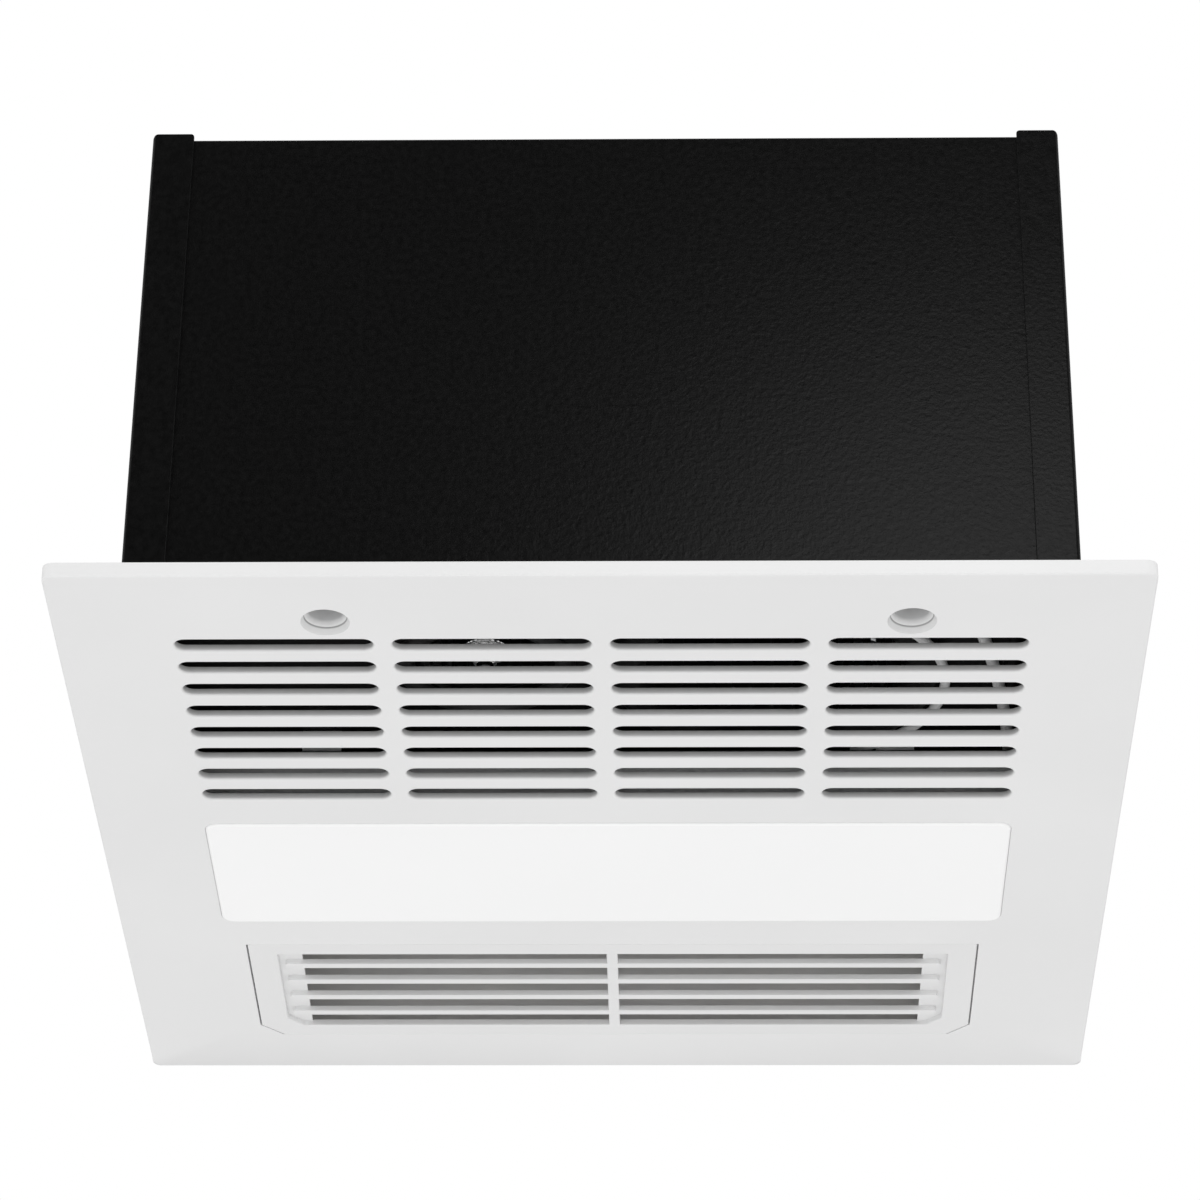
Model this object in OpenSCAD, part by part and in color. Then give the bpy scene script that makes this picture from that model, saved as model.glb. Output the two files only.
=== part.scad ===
// Ceiling heater, exhaust fan and light for a bathroom.
// The ceiling surface is the plane z = 0 and the origin is the middle of the unit on it.
// The housing stands above the ceiling and the face panel hangs below it.
// +Y points to the warm-air louvre and -Y to the intake slots.

/* [Face panel] */
// Width of the face panel, left to right
panel_w = 400; // [360:1:450]
// Depth of the face panel, intake side to warm-air side
panel_d = 400; // [360:1:450]
// How far the panel reaches past the housing on each side
panel_overhang = 25; // [22:0.5:30]
// Height of the panel's rim, from its face to the ceiling
panel_t = 6; // [5.6:0.1:8]
// Thickness of the panel's face
face_t = 3; // [2.5:0.1:3.3]
// Thickness of the panel's rim
rim_t = 2.5; // [1.5:0.1:3]
// Radius of the panel's corners, seen from below
panel_corner_r = 4; // [3:0.1:12]

/* [Intake slots] */
// Columns of slots
slot_cols = 4; // [2:1:5]
// Width of a slot
slot_w = 8; // [4.5:0.1:12]
// Width of the bar between two columns
slot_gap_x = 7; // [4:0.5:12]
// Pitch of the slot rows
slot_pitch_y = 16; // [13:0.1:20]
// From the panel's near edge to the middle of the first row
slot_first = 48.3; // [46:0.1:54]
// Least distance from the last row's middle to the lens
slot_lens_gap = 20; // [12:0.5:26]

/* [Panel screws] */
// Place of the left screw, from the middle
screw_left_x = -100; // [-120:0.5:-60]
// Place of the right screw, from the middle
screw_right_x = 113.3; // [60:0.1:120]
// From the inside of the front wall to the screws
screw_inset = 5; // [4:0.1:6]
// Diameter of the recess at the face
recess_d = 18; // [16.2:0.1:20]
// Diameter of the recess at its step
recess_step_d = 15.8; // [13.8:0.1:17.5]
// Diameter of the deep bore of the recess
recess_bore_d = 13; // [11:0.1:14.4]
// Height of the screw boss above the ceiling
boss_rise = 7; // [5:0.1:9]
// Thickness of the floor that the screw head seats on
boss_floor = 1.6; // [1:0.1:3]
// Thread diameter of the panel screws
screw_d = 4; // [3:0.1:5]
// Diameter of the panel screws' heads
screw_head_d = 8; // [7:0.1:9.5]
// Length of the panel screws under the head
screw_l = 21; // [18:0.5:26]

/* [Panel hinge] */
// Place of the two hinges, from the middle
hinge_x = 110; // [60:1:140]
// Diameter of the hinge pins
hinge_pin_d = 2; // [1.5:0.1:2.4]
// Width of the fixed knuckle
knuckle_w = 8; // [5:0.5:16]
// Length of each panel barrel
barrel_l = 9; // [5:0.5:16]
// Running clearance round the hinge pins
pin_fit = 0.03; // [0.02:0.01:0.06]

/* [Housing] */
// Height of the housing above the ceiling
box_h = 209; // [188:0.5:240]
// Thickness of the sheet metal
sheet_t = 1; // [0.8:0.1:1.2]
// Outer radius of the sheet metal bends
bend_r = 1.6; // [1.3:0.1:3]
// Width of the end panels' strips on the front and back
strip_w = 16; // [12:0.5:20]
// Height of the strips above the housing's top
strip_rise = 1.8; // [0.5:0.1:4]
// Radius of the strips' outer top corners
strip_r = 2.2; // [1:0.1:4]
// Width of the mounting flange outside the housing
lip_w = 13; // [11:0.5:16]
// Height of the mounting flange's leg inside the housing
lip_leg = 10; // [5:0.5:13]
// Diameter of the screw holes into the ceiling
ceiling_hole_d = 5; // [3.5:0.1:6]
// From the housing's corners to those holes, along the sides
ceiling_hole_in = 55; // [30:1:90]
// Diameter of the joist screw holes in the end panels
joist_hole_d = 5; // [3.5:0.1:7]
// From the housing's corners to the joist holes
joist_hole_in = 95; // [70:1:120]
// Height of the lower joist holes
joist_low_z = 22; // [15:0.5:28]
// From the housing's top down to the upper joist holes
joist_drop = 19; // [10:0.5:40]

/* [Light] */
// Width of the lens
lens_w = 82; // [60:1:92]
// Radius of the lens's corners
lens_corner_r = 5; // [2:0.5:10]
// How far the lens stands below the face
lens_proud = 0.7; // [0:0.1:2]
// Width of the lip that holds the lens
lens_lip = 2.5; // [1.5:0.1:3.3]
// Distance from the tray's ends to the end panels
tray_end_gap = 9; // [4:0.5:16]
// Height of the light tray's top above the ceiling
tray_h = 24; // [16:0.5:26.5]
// Place of the tray's lugs, from the middle
lug_x = 113; // [60:0.5:130]
// Width of the tray's lugs
lug_w = 15.5; // [8:0.5:20]
// Columns of light emitters along the board
emitter_cols = 10; // [4:1:14]

/* [Warm-air louvre] */
// Distance from the louvre's ends to the housing's sides
louvre_side = 24.85; // [20:0.05:30]
// Chamfer of the frame's two far corners
louvre_chamfer = 9; // [4:0.5:12]
// Width of the frame's ends beside the sunk field
louvre_end_w = 11.55; // [9:0.05:16]
// Width of the frame's near side
louvre_near_w = 8.85; // [6:0.05:12]
// Width of the frame's far side
louvre_far_w = 8.65; // [6:0.05:12]
// Depth of the sunk field
field_depth = 2.8; // [1.6:0.1:3.2]
// Distance from the field's ends to the open slits
slit_end = 10.7; // [8:0.1:20]
// Number of blades
blade_count = 4; // [3:1:5]
// Width of a blade
blade_w = 4.1; // [3:0.1:6]
// Width of the middle post
post_w = 4.6; // [3:0.1:8]

/* [Blower deck] */
// Height of the deck that carries both blowers
deck_z = 34; // [31:0.5:38]
// Thickness of the deck
deck_t = 1.2; // [0.8:0.1:2]
// Height of the deck's side flanges
deck_flange = 12; // [6:0.5:14]

/* [Exhaust blower] */
// Radius of the exhaust wheel
exhaust_r = 58; // [52:0.5:64]
// Height inside the exhaust scroll
exhaust_scroll_h = 74.8; // [66:0.2:80]
// How far the exhaust scroll grows from its tongue to its outlet
exhaust_growth = 19; // [14:0.5:21]
// Distance from the front wall to the exhaust wheel's axis
exhaust_wall_y = 103; // [98:0.5:108]
// Radius of the exhaust inlet's throat
exhaust_inlet_r = 50; // [45:0.5:52]
// Width of the exhaust inlet's bell
exhaust_bell_w = 14.6; // [10:0.2:16]
// Number of blades on the exhaust wheel
exhaust_blades = 36; // [20:1:44]
// Radius of the exhaust motor
exhaust_motor_r = 38; // [30:0.5:44]
// Height of the exhaust motor
exhaust_motor_h = 42; // [30:0.5:50]

/* [Heater blower] */
// Radius of the heater wheel
heater_r = 32; // [28:0.5:35.5]
// How far the heater scroll grows from its tongue to its outlet
heater_growth = 10; // [7:0.5:12]
// Distance from the front wall to the heater wheel's axis
heater_wall_y = 101; // [95:0.5:108]
// Radius of the heater inlet's throat
heater_inlet_r = 27; // [22:0.5:28]
// Width of the heater inlet's bell
heater_bell_w = 8; // [5:0.2:10]
// Number of blades on the heater wheel
heater_blades = 30; // [16:1:36]
// Radius of the heater motor
heater_motor_r = 24; // [18:0.5:26.5]
// Height of the heater motor
heater_motor_h = 34; // [24:0.5:44]
// Diameter of the shiny nut on the heater shaft
shaft_nut_d = 17; // [14:0.5:20]

/* [Shafts] */
// Diameter of both motor shafts
shaft_d = 6; // [4:0.5:8]
// Running clearance of the shafts in their motors
shaft_fit = 0.05; // [0.02:0.01:0.1]

/* [Duct collar] */
// Outer diameter of the collar, for a 100 mm duct
collar_d = 98; // [88:0.5:108]
// Length of the collar outside the housing
collar_l = 42; // [36:1:60]
// Thickness of the collar's wall
collar_t = 1; // [0.8:0.1:1.4]
// Clearance between the damper flap and the collar
flap_gap = 1; // [0.7:0.1:1.6]
// Thickness of the damper flap
flap_t = 1; // [0.8:0.1:1.5]
// Diameter of the damper pin
damper_pin_d = 3; // [2:0.1:3.6]
// How far the damper pin sits above the collar's middle
damper_rise = 8; // [5:0.5:9]

/* [Warm-air plenum] */
// Depth of the plenum, from the light to the back wall
plenum_depth = 100; // [92:1:106]
// Distance from the plenum's ends to the housing's sides
plenum_side = 33; // [30:0.5:38]
// Distance from the plenum's ends to the heating core
core_end_gap = 17; // [14:0.5:30]
// Width of the heating core
core_w = 80; // [66:1:88]
// Height of the core's underside
core_z = 46; // [42:0.5:52]
// Height of the heating core
core_h = 16; // [10:0.5:20]
// Number of heating bars
bar_count = 3; // [2:1:3]
// Pitch of the heating bars
bar_pitch = 24; // [20:0.5:27]
// Thickness of the heating bars
bar_t = 7; // [5:0.5:9]
// Pitch of the fins along the bars
fin_pitch = 6; // [5:0.5:12]
// Diameter of the guard's wires
guard_wire_d = 1.6; // [1:0.1:2.4]
// Pitch of the guard's wires
guard_pitch = 14.4; // [12:0.2:20]

/* [Wiring] */
// Length of the junction box, along the side
junction_l = 60; // [50:1:66]
// Depth of the junction box, into the housing
junction_w = 56; // [45:1:62]
// Height of the junction box
junction_h = 54; // [46:1:60]
// Diameter of the cable knock-out
knockout_d = 22.2; // [16:0.1:25]
// Diameter of the run capacitor
capacitor_d = 28; // [20:0.5:31]
// Height of the run capacitor
capacitor_h = 55; // [40:1:70]
// Width of the light driver
driver_w = 52; // [40:1:58]
// Height of the light driver
driver_h = 22; // [16:0.5:40]

/* [Hidden] */
$fn = 64;
eps = 0.01;

// The housing stands inside the panel's edge
box_w = panel_w - 2 * panel_overhang;
box_d = panel_d - 2 * panel_overhang;
wall_x = box_w / 2 - sheet_t;
inner_bend_r = max(bend_r - sheet_t, 0.3);
wrap_x = wall_x - inner_bend_r;
wrap_y = box_d / 2 - sheet_t;
wall_y = wrap_y - sheet_t;
roof_z = box_h - sheet_t;
ceiling_hole_y = box_d / 2 - ceiling_hole_in;
joist_hole_y = box_d / 2 - joist_hole_in;
joist_high_z = box_h - joist_drop;

// Levels and edges of the panel
face_z = -panel_t;
back_z = -panel_t + face_t;
near_y = -panel_d / 2;
rib_h = 1.4;
rib_t = 1.6;

// Panel screws, and the slots that let them swing out with the panel
screw_xs = [screw_left_x, screw_right_x];
screw_y = -wall_y + screw_inset;
screw_hole_gap = 0.25;
swing_room = 1.4;
slot_side_gap = 0.5;
slot_r = screw_d / 2 + slot_side_gap;
slot_reach = slot_r + swing_room;
head_h = 2.8;
head_spread = 0.6;
drive_w = 1;
drive_l = 4.6;
drive_depth = 1.4;

// The screw recess, measured from the face
recess_step_depth = 2.7;
recess_ring_depth = 4.2;
boss_wall = 1.7;
boss_r = recess_bore_d / 2 + boss_wall;
boss_base_wall = 1;
boss_base_r = recess_d / 2 + boss_base_wall;
boss_base_top = -0.4;
boss_clearance = 1;
head_z = boss_rise - boss_floor;

// The panel's hinge: each barrel fills the rim's height
hinge_r = panel_t / 2;
hinge_y = panel_d / 2 - hinge_r;
hinge_z = -hinge_r;
knuckle_r = hinge_r - sheet_t;
knuckle_gap = 0.3;
knuckle_room = 0.4;
knuckle_lap = 9.5;
hinge_xs = [-hinge_x, hinge_x];
barrel_from = knuckle_w / 2 + knuckle_gap;

// Screw brackets and clip nuts inside the front wall
bracket_z = 14;
bracket_t = 2;
bracket_leg_t = 1;
bracket_w = 24;
bracket_edge = 6;
bracket_reach = screw_inset + slot_reach + bracket_edge;
bracket_leg = 16;
nut_side = 3;
nut_edge = 3;
nut_h = 3;

// The exhaust duct hangs under the roof, and the plenum's top is the duct's floor
duct_margin = 1;
duct_w = collar_d + 2 * duct_margin;
duct_roof_gap = 2;
duct_top = roof_z - duct_roof_gap;
plenum_h = duct_top - duct_w - 2 * sheet_t;

// Plenum, core and guard
plenum_far_y = wall_y - sheet_t;
plenum_near_y = plenum_far_y - plenum_depth;
plenum_x = box_w / 2 - plenum_side;
core_x = plenum_x - core_end_gap;
core_y = (plenum_near_y + plenum_far_y) / 2;
fin_t = 0.8;
fin_drop = 1;
fin_end_gap = 6;
bracket_lip = 2;
guard_drop = 8;
guard_z = core_z - guard_drop;
guard_side_gap = 6;
guard_stays = 5;
cutout_d = 16;
cutout_h = 5;
cutout_plate_t = 1;
cutout_plate_h = 10;
cutout_drop = 22;
cutout_z = plenum_h - cutout_drop;
cutout_ear = 26;
tab_l = 4;
tab_t = 2;
tab_y = 3;

// Light
tray_lens_end = 7;
tray_lens_side = 3.5;
tray_plenum_gap = 2.9;
tray_x = wall_x - tray_end_gap;
tray_w = lens_w + 2 * tray_lens_side;
tray_rim_z = -0.5;
lens_l = 2 * (tray_x - tray_lens_end);
lens_y = plenum_near_y - tray_plenum_gap - tray_w / 2;
lens_gap = 0.2;
lens_lip_t = 1;
lens_skin = 2.2;
retainer_w = 10;
retainer_reach = 4;
retainer_t = 0.8;
retainer_hold = 2;
retainer_xs = [-lens_l / 3, 0, lens_l / 3];
board_t = 1.6;
board_edge = 15;
board_side = 8;
emitter_w = 5;
emitter_h = 1;
emitter_side = 26.7;
lug_reach = 12;
lug_gap = 0.3;

// Slots fill the panel between its near edge and the lens
slot_end_margin = 1.5;
slot_l = (lens_l - 2 * slot_end_margin - (slot_cols - 1) * slot_gap_x) / slot_cols;
slot_pitch_x = slot_l + slot_gap_x;
slot_room = lens_y - lens_w / 2 - slot_lens_gap - near_y - slot_first;
slot_rows = 1 + floor(slot_room / slot_pitch_y);

// Louvre, over the plenum's open bottom
louvre_near_gap = 14.75;
louvre_far_gap = 2.35;
louvre_x = box_w / 2 - louvre_side;
louvre_near_y = plenum_near_y + louvre_near_gap;
louvre_far_y = plenum_far_y - louvre_far_gap;
louvre_gap_end = 0.4;
louvre_gap_side = 0.1;
louvre_lip = 3;
louvre_floor_t = 1;
field_x = louvre_x - louvre_end_w;
field_near_y = louvre_near_y + louvre_near_w;
field_far_y = louvre_far_y - louvre_far_w;
field_chamfer = 6.4;
slit_x = field_x - slit_end;
blade_end_gap = 2.6;
first_blade_gap = 10.3;
last_blade_gap = 11.9;

// Levels on the deck
deck_top = deck_z + deck_t;
exhaust_top = deck_top + exhaust_scroll_h;
heater_duct_drop = 13.8;
heater_top = plenum_h - heater_duct_drop - sheet_t;
wall_room = 17;
bead_r = 3;
bead_x = wall_x - wall_room;

// Scrolls: each spiral starts at its tongue and grows to its outlet
tongue_angle = 65;
scroll_steps = 48;
exhaust_tongue_gap = 4;
exhaust_side_gap = 26.5;
exhaust_run = 8;
exhaust_scroll_r0 = exhaust_r + exhaust_tongue_gap;
exhaust_scroll_r1 = exhaust_scroll_r0 + exhaust_growth;
exhaust_x = wall_x - exhaust_side_gap - sheet_t - exhaust_scroll_r1;
exhaust_y = -wall_y + exhaust_wall_y;
exhaust_outlet_y = exhaust_y + exhaust_scroll_r0 + exhaust_run;
exhaust_outlet_x0 = exhaust_x + exhaust_scroll_r0 * cos(tongue_angle);
exhaust_outlet_x1 = exhaust_x + exhaust_scroll_r1;
heater_tongue_gap = 3;
heater_run = 7;
scroll_spacing = 1.695;
heater_scroll_r0 = heater_r + heater_tongue_gap;
heater_scroll_r1 = heater_scroll_r0 + heater_growth;
heater_x = exhaust_x - scroll_reach(exhaust_scroll_r0, exhaust_growth)
    - scroll_spacing - scroll_reach(heater_scroll_r0, heater_growth);
heater_y = -wall_y + heater_wall_y;
heater_outlet_y = heater_y + heater_scroll_r0 + heater_run;
heater_outlet_x0 = heater_x - heater_scroll_r1;
heater_outlet_x1 = heater_x - heater_scroll_r0 * cos(tongue_angle);
heater_scroll_h = heater_top - deck_top;

// Wheels, shafts and motors
wheel_gap = 5;
exhaust_head_gap = 9.8;
heater_head_gap = 5;
exhaust_h = exhaust_scroll_h - wheel_gap - exhaust_head_gap;
heater_h = heater_scroll_h - wheel_gap - heater_head_gap;
blade_t = 0.9;
exhaust_blade_depth = 11;
heater_blade_depth = 6;
blade_sweep = 10;
blade_steps = 5;
back_plate_t = 1.6;
wheel_rim_w = 2.4;
wheel_rim_h = 3;
hub_wall = 4;
hub_h = 22;
shaft_tail = 2;
shaft_end_gap = 3;
nut_height = 6;
nut_z = deck_top + 1;
nut_flange_h = 1.6;
nut_step = 2;
motor_ear_r = 6;
motor_ear_t = 2;
bell_step = 5;
vent_count = 12;
vent_w = 3;
vent_depth = 2;
stud_d = 4;
motor_nut_d = 8;
motor_nut_h = 3.4;
stud_rise = 3;

// Exhaust duct and collar
duct_side_room = 3.5;
duct_foot = 3;
duct_shoulder = 8;
duct_crown_y = plenum_near_y + 3;
duct_slope = 0.6;
collar_x = exhaust_outlet_x1 + duct_side_room - duct_w / 2;
collar_z = plenum_h + sheet_t + duct_w / 2;
collar_r = collar_d / 2;
collar_bore_r = collar_r - collar_t;
collar_plate_side = 3;
collar_plate_w = duct_w + 2 * collar_plate_side;
collar_plate_h = duct_w + 2 * sheet_t;
damper_in = 10;
damper_y = wrap_y + damper_in;
damper_z = collar_z + damper_rise;
damper_fit = 0.05;
damper_barrel_d = damper_pin_d + 3;
damper_barrel_l = 12;
damper_barrel_x = 24;
flap_r = collar_bore_r - flap_gap;
flap_offset = 2;
seat_w = 2.5;
seat_t = 1.2;
seat_gap = 0.3;
seat_drop = 12;

// Wiring
junction_wall_gap = 5;
junction_deck_gap = 2.8;
junction_y = -wall_y + junction_wall_gap + junction_l / 2;
junction_z = deck_top + deck_flange + junction_deck_gap;
junction_mid_z = junction_z + junction_h / 2;
cover_t = 1;
cover_lap = 4;
cover_screw_drop = 8;
clamp_lock_t = 3;
clamp_wall = 4;
clamp_lock_r = knockout_d / 2 + clamp_wall;
clamp_bar_h = 5;
clamp_bar_drop = 3;
clamp_reach = 13;
terminal_wall_gap = 18;
terminal_l = 34;
terminal_w = 18;
terminal_h = 15;
terminal_poles = 4;
terminal_hole_d = 4.5;
terminal_hole_h = 5;
capacitor_side_gap = 7;
capacitor_near_gap = 6;
capacitor_x = wall_x - capacitor_side_gap - capacitor_d / 2;
capacitor_y = -wall_y + capacitor_near_gap + capacitor_d / 2;
blade_x = 5;
lead_w = 6;
lead_t = 0.8;
lead_h = 8;
strap_t = 0.8;
strap_h = 10;
strap_z = deck_top + capacitor_h / 2;
driver_end_gap = 10.6;
driver_far_gap = 13;
driver_ear = 8;
driver_ear_t = 2;
driver_x0 = heater_outlet_x1 + sheet_t + driver_end_gap;
driver_x1 = collar_x - duct_w / 2 - sheet_t - driver_end_gap;
driver_y = plenum_near_y - driver_far_gap - driver_w / 2;

// Pan-head screws on the back
pan_d = 7;
pan_h = 2;
pan_edge = 6;
strip_screw_low = 30;
strip_screw_drop = 29;
strip_screw_zs = [strip_screw_low, (strip_screw_low + box_h - strip_screw_drop) / 2, box_h - strip_screw_drop];

// How far a scroll's outside reaches on the side away from its outlet
function scroll_reach(r0, growth) = r0 + growth * (180 - tongue_angle) / (360 - tongue_angle) + sheet_t;

// Plan outline with round corners
module rounded_rect(w, d, r) {
    square([w - 2 * r, d], center = true);
    square([w, d - 2 * r], center = true);
    for (sx = [-1, 1], sy = [-1, 1])
        translate([sx * (w / 2 - r), sy * (d / 2 - r)])
            circle(r);
}

// Slot outline with half-round ends
module stadium(l, w) {
    square([l - w, w], center = true);
    for (sx = [-1, 1])
        translate([sx * (l - w) / 2, 0])
            circle(w / 2);
}

// Outline in y and z, drawn along x from x0
module along_x(x0, length) {
    translate([x0, 0, 0])
        rotate([90, 0, 90])
            linear_extrude(length)
                children();
}

// Outline in x and z, drawn along y from y0
module along_y(y0, length) {
    translate([0, y0 + length, 0])
        rotate([90, 0, 0])
            linear_extrude(length)
                children();
}

// Rod along x between two ends
module rod_x(x0, x1, y, z, r) {
    translate([x0, y, z])
        rotate([0, 90, 0])
            cylinder(r = r, h = x1 - x0);
}

// Rod along y between two ends
module rod_y(y0, y1, x, z, r) {
    translate([x, y0, z])
        rotate([-90, 0, 0])
            cylinder(r = r, h = y1 - y0);
}

// Block between two opposite corners
module block(low, high) {
    translate(low)
        cube(high - low);
}

// Face panel

module slot_field() {
    for (i = [0 : slot_cols - 1], j = [0 : slot_rows - 1])
        translate([
            (i - (slot_cols - 1) / 2) * slot_pitch_x,
            near_y + slot_first + j * slot_pitch_y,
            face_z - eps
        ])
            linear_extrude(face_t + 2 * eps)
                stadium(slot_l, slot_w);
}

module recess_bore() {
    step_z = face_z + recess_step_depth;
    ring_z = face_z + recess_ring_depth;
    translate([0, 0, face_z - eps])
        cylinder(d1 = recess_d, d2 = recess_step_d, h = recess_step_depth + eps);
    translate([0, 0, step_z - eps])
        cylinder(d1 = recess_step_d, d2 = recess_bore_d, h = ring_z - step_z + eps);
    translate([0, 0, ring_z - eps])
        cylinder(d = recess_bore_d, h = head_z - ring_z + eps);
    translate([0, 0, ring_z])
        cylinder(d = screw_d + 2 * screw_hole_gap, h = boss_rise - ring_z + eps);
}

module recess_boss() {
    translate([0, 0, back_z - eps])
        cylinder(r = boss_base_r, h = boss_base_top - back_z + eps);
    translate([0, 0, back_z])
        cylinder(r = boss_r, h = boss_rise - back_z);
}

module far_edge_rounding() {
    difference() {
        block([-panel_w, hinge_y, hinge_z], [panel_w, panel_d, panel_t]);
        rod_x(-panel_w - eps, panel_w + eps, hinge_y, hinge_z, hinge_r);
    }
}

module face_panel() {
    rib_end = near_y + slot_first + (slot_rows - 1) * slot_pitch_y;
    inner_r = max(panel_corner_r - rim_t, 0.5);
    color("whitesmoke")
        difference() {
            union() {
                difference() {
                    translate([0, 0, face_z])
                        linear_extrude(panel_t)
                            rounded_rect(panel_w, panel_d, panel_corner_r);
                    translate([0, 0, back_z])
                        linear_extrude(panel_t)
                            rounded_rect(panel_w - 2 * rim_t, panel_d - 2 * rim_t, inner_r);
                }
                for (x = screw_xs)
                    translate([x, screw_y, 0])
                        recess_boss();
                for (x = hinge_xs, s = [-1, 1])
                    rod_x(x + s * (barrel_from + barrel_l / 2) - barrel_l / 2,
                        x + s * (barrel_from + barrel_l / 2) + barrel_l / 2,
                        hinge_y, hinge_z, hinge_r);
                for (i = [1 : slot_cols - 1])
                    block([(i - slot_cols / 2) * slot_pitch_x - rib_t / 2, near_y + slot_first, back_z - eps],
                        [(i - slot_cols / 2) * slot_pitch_x + rib_t / 2, rib_end, back_z + rib_h]);
            }
            far_edge_rounding();
            slot_field();
            translate([0, lens_y, face_z - eps])
                linear_extrude(face_t + 2 * eps)
                    rounded_rect(lens_l + 2 * lens_gap, lens_w + 2 * lens_gap, lens_corner_r + lens_gap);
            translate([0, 0, face_z - eps])
                linear_extrude(face_t + 2 * eps)
                    louvre_outline(louvre_gap_end, louvre_gap_side);
            for (x = screw_xs)
                translate([x, screw_y, 0])
                    recess_bore();
            for (x = hinge_xs) {
                rod_x(x - barrel_from - barrel_l, x + barrel_from + barrel_l,
                    hinge_y, hinge_z, hinge_pin_d / 2 + pin_fit);
                rod_x(x - barrel_from, x + barrel_from, hinge_y, hinge_z, knuckle_r + knuckle_room);
                block([x - barrel_from, hinge_y - knuckle_r - knuckle_room, hinge_z],
                    [x + barrel_from, panel_d, panel_t]);
            }
        }
}

// Warm-air louvre

module louvre_outline(end_gap, side_gap) {
    ex = louvre_x + end_gap;
    ny = louvre_near_y - side_gap;
    fy = louvre_far_y + side_gap;
    polygon([
        [-ex, ny], [ex, ny], [ex, fy - louvre_chamfer], [ex - louvre_chamfer, fy],
        [-ex + louvre_chamfer, fy], [-ex, fy - louvre_chamfer]
    ]);
}

module field_outline() {
    polygon([
        [-field_x, field_near_y], [field_x, field_near_y], [field_x, field_far_y - field_chamfer],
        [field_x - field_chamfer, field_far_y], [-field_x + field_chamfer, field_far_y],
        [-field_x, field_far_y - field_chamfer]
    ]);
}

module warm_louvre() {
    floor_z = face_z + field_depth;
    top_z = floor_z + louvre_floor_t;
    first_y = field_near_y + first_blade_gap;
    last_y = field_far_y - last_blade_gap;
    color("gainsboro")
        union() {
            difference() {
                union() {
                    translate([0, 0, face_z])
                        linear_extrude(top_z - face_z)
                            louvre_outline(0, 0);
                    translate([0, 0, back_z])
                        linear_extrude(top_z - back_z)
                            louvre_outline(louvre_lip, louvre_lip);
                }
                translate([0, 0, face_z - eps])
                    linear_extrude(field_depth + eps)
                        field_outline();
                translate([0, 0, face_z])
                    linear_extrude(panel_t)
                        intersection() {
                            field_outline();
                            translate([-slit_x, field_near_y])
                                square([2 * slit_x, field_far_y - field_near_y]);
                        }
            }
            for (i = [0 : blade_count - 1])
                translate([0, first_y + (last_y - first_y) * i / (blade_count - 1), face_z])
                    linear_extrude(top_z - face_z)
                        stadium(2 * (field_x - blade_end_gap), blade_w);
            block([-post_w / 2, field_near_y - eps, face_z], [post_w / 2, field_far_y + eps, top_z]);
        }
}

// Lens and what holds it

module diffuser_lens() {
    color("white")
        difference() {
            union() {
                translate([0, lens_y, face_z - lens_proud])
                    linear_extrude(back_z - face_z + lens_proud)
                        rounded_rect(lens_l, lens_w, lens_corner_r);
                translate([0, lens_y, back_z])
                    linear_extrude(lens_lip_t)
                        rounded_rect(lens_l + 2 * lens_lip, lens_w + 2 * lens_lip, lens_corner_r + lens_lip);
            }
            translate([0, lens_y, face_z - lens_proud + lens_skin])
                linear_extrude(panel_t)
                    rounded_rect(lens_l - 2 * lens_lip, lens_w - 2 * lens_lip, lens_corner_r);
        }
}

module lens_retainers() {
    edge = lens_w / 2 + lens_lip;
    color("silver")
        for (x = retainer_xs, s = [-1, 1])
            translate([x, lens_y, 0])
                mirror([0, (1 - s) / 2, 0]) {
                    block([-retainer_w / 2, edge, back_z],
                        [retainer_w / 2, edge + retainer_reach, back_z + lens_lip_t]);
                    block([-retainer_w / 2, edge - retainer_hold, back_z + lens_lip_t],
                        [retainer_w / 2, edge + retainer_reach, back_z + lens_lip_t + retainer_t]);
                }
}

// Panel screws, captive in their recesses
module panel_screws() {
    color("silver")
        for (x = screw_xs)
            translate([x, screw_y, head_z])
                difference() {
                    union() {
                        translate([0, 0, -head_h])
                            cylinder(d1 = screw_head_d - 2 * head_spread, d2 = screw_head_d, h = head_h);
                        cylinder(d = screw_d, h = screw_l);
                    }
                    for (a = [0, 90])
                        rotate([0, 0, a])
                            block([-drive_l / 2, -drive_w / 2, -head_h - eps],
                                [drive_l / 2, drive_w / 2, -head_h + drive_depth]);
                }
}

// Housing

module boss_cuts() {
    for (x = screw_xs)
        translate([x, screw_y, 0]) {
            translate([0, 0, -panel_t])
                cylinder(r = boss_base_r + boss_clearance, h = panel_t);
            cylinder(r = boss_r + boss_clearance, h = boss_rise + 2 * boss_clearance);
        }
}

module bent_outline(w, h, r) {
    translate([-w / 2, -h])
        square([w, 2 * h - r]);
    translate([-w / 2 + r, 0])
        square([w - 2 * r, h]);
    for (s = [-1, 1])
        translate([s * (w / 2 - r), h - r])
            circle(r);
}

module housing_wrap() {
    color([0.09, 0.09, 0.09])
        difference() {
            along_x(-wrap_x, 2 * wrap_x)
                intersection() {
                    difference() {
                        bent_outline(2 * wrap_y, box_h, bend_r);
                        bent_outline(2 * wall_y, roof_z, inner_bend_r);
                    }
                    translate([-box_d, 0])
                        square([2 * box_d, 2 * box_h]);
                }
            boss_cuts();
            rod_y(0, box_d, collar_x, collar_z, collar_bore_r);
        }
}

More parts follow.
